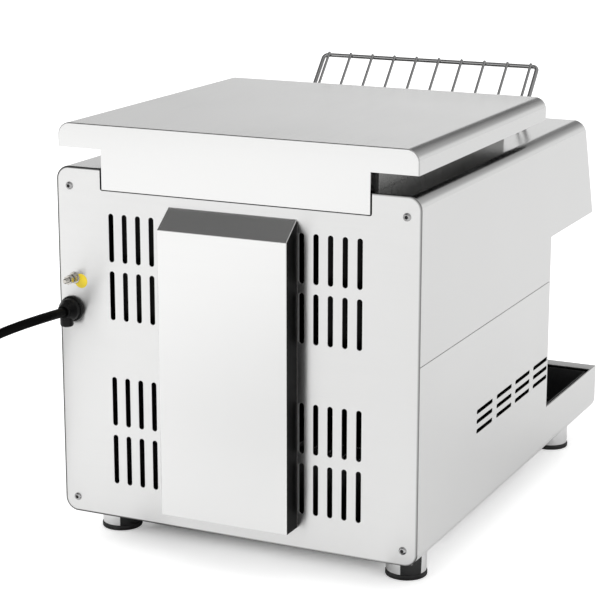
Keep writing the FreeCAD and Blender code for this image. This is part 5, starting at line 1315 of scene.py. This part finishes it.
def makeSwitch():
    # rocker faces rise 1.8 in 7.6 from the middle, so each mark lies on that slope
    dress("power_switch", "blackPlastic", 0.5)
    dress("power_rocker", "glossPlastic", 0.7, "rocker")
    slope = math.atan2(1.8, 7.6)
    marks = {"on": slotLoop((-2.6, 0.0), (2.6, 0.0), 1.0, 5), "off": None}
    for name, side in (("on", 1), ("off", -1)):
        if marks[name] is None:
            shape = lathe([(1.7, 0.0), (2.6, 0.0), (2.6, 0.06), (1.7, 0.06)], (0, 0, 0), upZ, 32, True)
        else:
            shape = loftOutline(marks[name], [(0.0, 0.0), (1.0, 0.0), (1.0, 0.06), (0.0, 0.06)], (0, 0, 0),
                                (0, 0, 1), (1, 0, 0))
        middle = np.array([0.0, side * 3.9, 1.6 + 3.9 * math.tan(slope) + 0.01])
        lean = np.array([[1.0, 0.0, 0.0], [0.0, math.cos(slope), side * math.sin(slope)],
                         [0.0, -side * math.sin(slope), math.cos(slope)]])
        mark = repeatShape(shape, [middle], [lean])
        piece = putMesh("rocker_mark_" + name, rockerSpots(mark), finishes["printWhite"], "rocker")


def makeLamp():
    # ribbed lens dome: radius x cos, height x sin of one angle, with a small ripple round it
    s = controlSettings
    centre = onPanel(s["lampCentre"])
    rim = lathe([(5.0, -8.0), (5.1, -8.0), (5.1, 0.0), (6.7, 0.0), (7.0, 0.4), (7.0, 1.0), (6.5, 1.5), (5.6, 1.5),
                 (5.2, 1.2), (5.0, 0.4)], centre, panelOut, 48, True)
    swing = np.linspace(0.0, np.pi / 2, 10)
    angle = np.linspace(0.0, 2 * np.pi, 96, endpoint=False)
    ripple = 1 + 0.018 * np.cos(24 * angle)[None, :] * np.cos(swing)[:, None]
    dome = 5.05 * np.cos(swing)[:, None] * ripple
    lens = polarGrid(np.vstack([np.zeros((1, 96)), np.full((1, 96), 4.9), dome]),
                     np.concatenate([[-6.0, -6.0], 1.3 + 3.1 * np.sin(swing)]), centre, panelOut)
    body = [(0.0, -22.0), (4.2, -22.0), (4.8, -21.0), (4.8, -8.2), (0.0, -8.2)]
    standFor(putMesh("indicator_lens", lens, finishes["amberLens"]), "indicator_lamp")
    ring = joinGrids([rim, lathe(body, centre, panelOut, 32)])
    putMesh("indicator_rim", ring, finishes["blackPlastic"])


makeKnob("speed_knob", "speed_turn", "speed_dial")
makeKnob("heat_knob", "heat_turn", "heat_dial")
makeDial("speed_dial", "speed_turn", controlSettings["speedMarks"], "123456789")
makeDial("heat_dial", "heat_turn", controlSettings["heatMarks"], "012")
makeSwitch()
makeLamp()
for node in ("speed_potentiometer", "heat_selector", "terminal_block"):
    dress(node, "creamPlastic", 0.4)
print("controls: knobs, dials, switch and lamp")

# Fan behind the hood

dress("fan_frame", "blackPlastic", 0.5)
dress("fan_rotor", "blackPlastic", 0.3, "fan_wheel")
dress("fan_guard", "wireSteel", 0.0)
print("fan: frame, rotor and guard")

# Supply leads inside

leadSettings = {
    "starts": (166.2, 170.2, 174.2),
    "ends": (144.2, 149.2, 154.2),
    "depths": (14.0, 45.0),
    "heights": (232.3, 203.5),
    "radius": 1.4,
    "finishes": ("leadBrown", "leadStriped", "leadBlue"),
}


def makeLeads():
    # each lead eases from the gland to its terminal: place = start + (end - start) x smooth step of the run
    s = leadSettings
    run = np.linspace(0.0, 1.0, 24)
    ease = run * run * (3 - 2 * run)
    near, far = s["depths"]
    high, low = s["heights"]
    pieces = []
    for start, end, finish in zip(s["starts"], s["ends"], s["finishes"]):
        path = np.column_stack([start + (end - start) * ease, rearFaceY - near - (far - near) * run,
                                high + (low - high) * ease])
        pieces.append(putMesh("supply_lead_" + finish, tubeAlong(path, s["radius"], upZ, 12), finishes[finish]))
    standFor(pieces[0], "supply_leads")


makeLeads()
print("supply leads: three")

# Supply cord

cordSettings = {
    "diameter": 9.0,
    "length": 1761.0,
    "lead": [(170.2, 274.5, 232.3), (171.2, 292.0, 233.2), (175.8, 310.4, 232.6), (186.0, 327.6, 229.4),
             (201.6, 341.4, 222.6), (220.6, 350.4, 211.0), (238.0, 354.8, 193.0), (250.0, 355.6, 168.5),
             (256.8, 355.0, 139.0), (259.4, 354.5, 108.5), (259.8, 354.8, 83.0), (259.6, 355.8, 60.5),
             (260.6, 357.0, 39.0), (272.4, 358.0, 17.6), (292.8, 358.0, 5.8), (317.0, 358.0, 5.8)],
    "tail": [(384.0, 291.0, 15.4), (384.3, 272.0, 15.6), (386.5, 252.0, 16.6), (387.5, 229.0, 18.2),
             (386.0, 207.0, 19.0)],
    "coilCentre": (326.0, 300.0),
    "coilRadius": 58.0,
    "coilStep": 4.9,
    "coilLow": 5.8,
    "coilRise": 9.6,
    "pointsPerHalfTurn": 14,
}


def coilPoints():
    # half turns: each ends 2 x radius across the coil, the fifth one climbs to the upper layer
    s = cordSettings
    x, y = s["coilCentre"]
    radii = [s["coilRadius"] - s["coilStep"] * i for i in (0, 1, 2, 3, 4, 3, 2, 1)]
    spot = np.array([x, y + s["coilRadius"], s["coilLow"]])
    sweep = np.linspace(0.0, np.pi, s["pointsPerHalfTurn"] + 1)
    points = [spot[None]]
    heading = 1.0
    for i, radius in enumerate(radii):
        rise = s["coilRise"] if i == 4 else 0.0
        turn = np.column_stack([heading * radius * np.sin(sweep), heading * radius * (np.cos(sweep) - 1),
                                rise * sweep / np.pi])
        points.append(spot + turn[1:])
        spot = spot + turn[-1]
        heading = -heading
    quarter = sweep[sweep < np.pi / 2 + 0.01][1:]
    radius = s["coilRadius"]
    flat = np.zeros(len(quarter))
    points.append(spot + np.column_stack([radius * np.sin(quarter), radius * (np.cos(quarter) - 1), flat]))
    return np.concatenate(points)


def makeCord():
    s = cordSettings
    route = np.concatenate([s["lead"], coilPoints(), s["tail"]]) * metre
    curve = bpy.data.curves.new("supply_cord", "CURVE")
    curve.dimensions = "3D"
    curve.bevel_depth = s["diameter"] / 2 * metre
    curve.bevel_resolution = 5
    curve.resolution_u = 6
    curve.use_fill_caps = True
    spline = curve.splines.new("NURBS")
    spline.points.add(len(route) - 1)
    spline.points.foreach_set("co", np.column_stack([route, np.ones(len(route))]).ravel())
    spline.order_u = 3
    spline.use_endpoint_u = True
    curve.materials.append(finishes["cordJacket"])
    cord = bpy.data.objects.new("supply_cord", curve)
    bpy.context.scene.collection.objects.link(cord)
    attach(cord, "casing")
    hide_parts("cord_lead", "cord_coil", "cord_tail")
    return cord


supplyCord = makeCord()

plugSettings = {
    "start": (386.0, 207.0, 19.0),
    "relief": [(0.0, 0.0), (5.0, 0.0), (5.9, 0.4)],
    "reliefEnd": 14.0,
    "reliefRadii": (6.0, 8.5),
    "ribs": 5,
    "ribDepth": 0.7,
    "neck": [(9.2, 14.8), (11.5, 16.6), (15.0, 20.6), (17.6, 24.2), (18.6, 26.2)],
    "gripRadius": 19.0,
    "grip": (27.0, 41.0),
    "gripRidges": 28,
    "gripDepth": 0.5,
    "face": [(18.9, 43.0), (18.6, 45.2), (17.9, 46.0), (16.4, 46.0), (16.1, 45.6), (0.0, 45.6)],
}


def makePlug():
    # relief: tapering radius - depth x cos of the ribs; grip: radius - depth x (1 + cos of the ridges) / 2
    s = plugSettings
    angle = np.linspace(0.0, 2 * np.pi, 112, endpoint=False)
    plain = np.ones(len(angle))
    run = np.linspace(0.6, s["reliefEnd"], 41)
    low, high = s["reliefRadii"]
    share = run / s["reliefEnd"]
    ribbed = low + (high - low) * share - s["ribDepth"] * (0.5 - 0.5 * np.cos(2 * np.pi * s["ribs"] * share))
    ridge = s["gripDepth"] * (0.5 + 0.5 * np.cos(s["gripRidges"] * angle))
    rise = np.linspace(*s["grip"], 10)
    fade = np.sin(np.linspace(0.0, np.pi, 10)) ** 0.5
    rows = [radius * plain for radius, z in s["relief"]] + [radius * plain for radius in ribbed]
    rows += [radius * plain for radius, z in s["neck"]] + [s["gripRadius"] - amount * ridge for amount in fade]
    rows += [radius * plain for radius, z in s["face"]]
    heights = [z for radius, z in s["relief"]] + list(run) + [z for radius, z in s["neck"]] + list(rise)
    heights += [z for radius, z in s["face"]]
    grid = polarGrid(np.array(rows), heights, s["start"], -outRear)
    return standFor(putMesh("plug_moulding", grid, finishes["blackPlastic"]), "plug_body")


tieSettings = {
    "corners": [(271.4, 1.3), (289.3, 1.3), (289.3, 20.1), (271.4, 20.1)],    # x, z round the strands
    "cornerRadius": 4.2,
    "thickness": 0.9,
    "halfWidth": 4.0,
    "middleY": 300.0,
    "flap": (0.55, 0.86),      # share of the loop that the free end lies over
}


def makeTie():
    # strap: the loop and the same loop one thickness out, at both edges; the free end lies one thickness further
    s = tieSettings
    loop = roundedLoop(s["corners"], [s["cornerRadius"]] * 4, 12)
    middle = loop.mean(0)
    away = loop - middle
    away /= np.linalg.norm(away, axis=1)[:, None]
    rows = []
    for out, side in ((0.0, -1), (0.0, 1), (0.25, 1.04), (0.8, 1.04), (1.0, 1), (1.0, -1), (0.8, -1.04), (0.25, -1.04)):
        flat = loop + away * out * s["thickness"]
        rows.append(np.column_stack([flat[:, 0], np.full(len(flat), s["middleY"] + side * s["halfWidth"]), flat[:, 1]]))
    strap = np.concatenate(rows), gridFaces(len(rows), len(loop), True, True)
    first, last = (int(share * len(loop)) for share in s["flap"])
    part, ray = loop[first:last], away[first:last]
    end = []
    for out, side in ((1.05, -0.92), (1.05, 0.92), (1.9, 0.92), (1.9, -0.92)):
        flat = part + ray * out * s["thickness"]
        end.append(np.column_stack([flat[:, 0], np.full(len(flat), s["middleY"] + side * s["halfWidth"]), flat[:, 1]]))
    flap = np.concatenate(end), gridFaces(4, len(part), True).tolist()
    caps = [[row * len(part) + column for row in range(4)] for column in (0, len(part) - 1)]
    flap[1].extend(caps)
    return standFor(putMesh("coil_strap", joinGrids([strap, flap]), finishes["strapCloth"]), "coil_tie")


plug = makePlug()
strap = makeTie()
pins = dress("plug_pins", "nickel", 0.0)
print("cord: route, plug and strap")
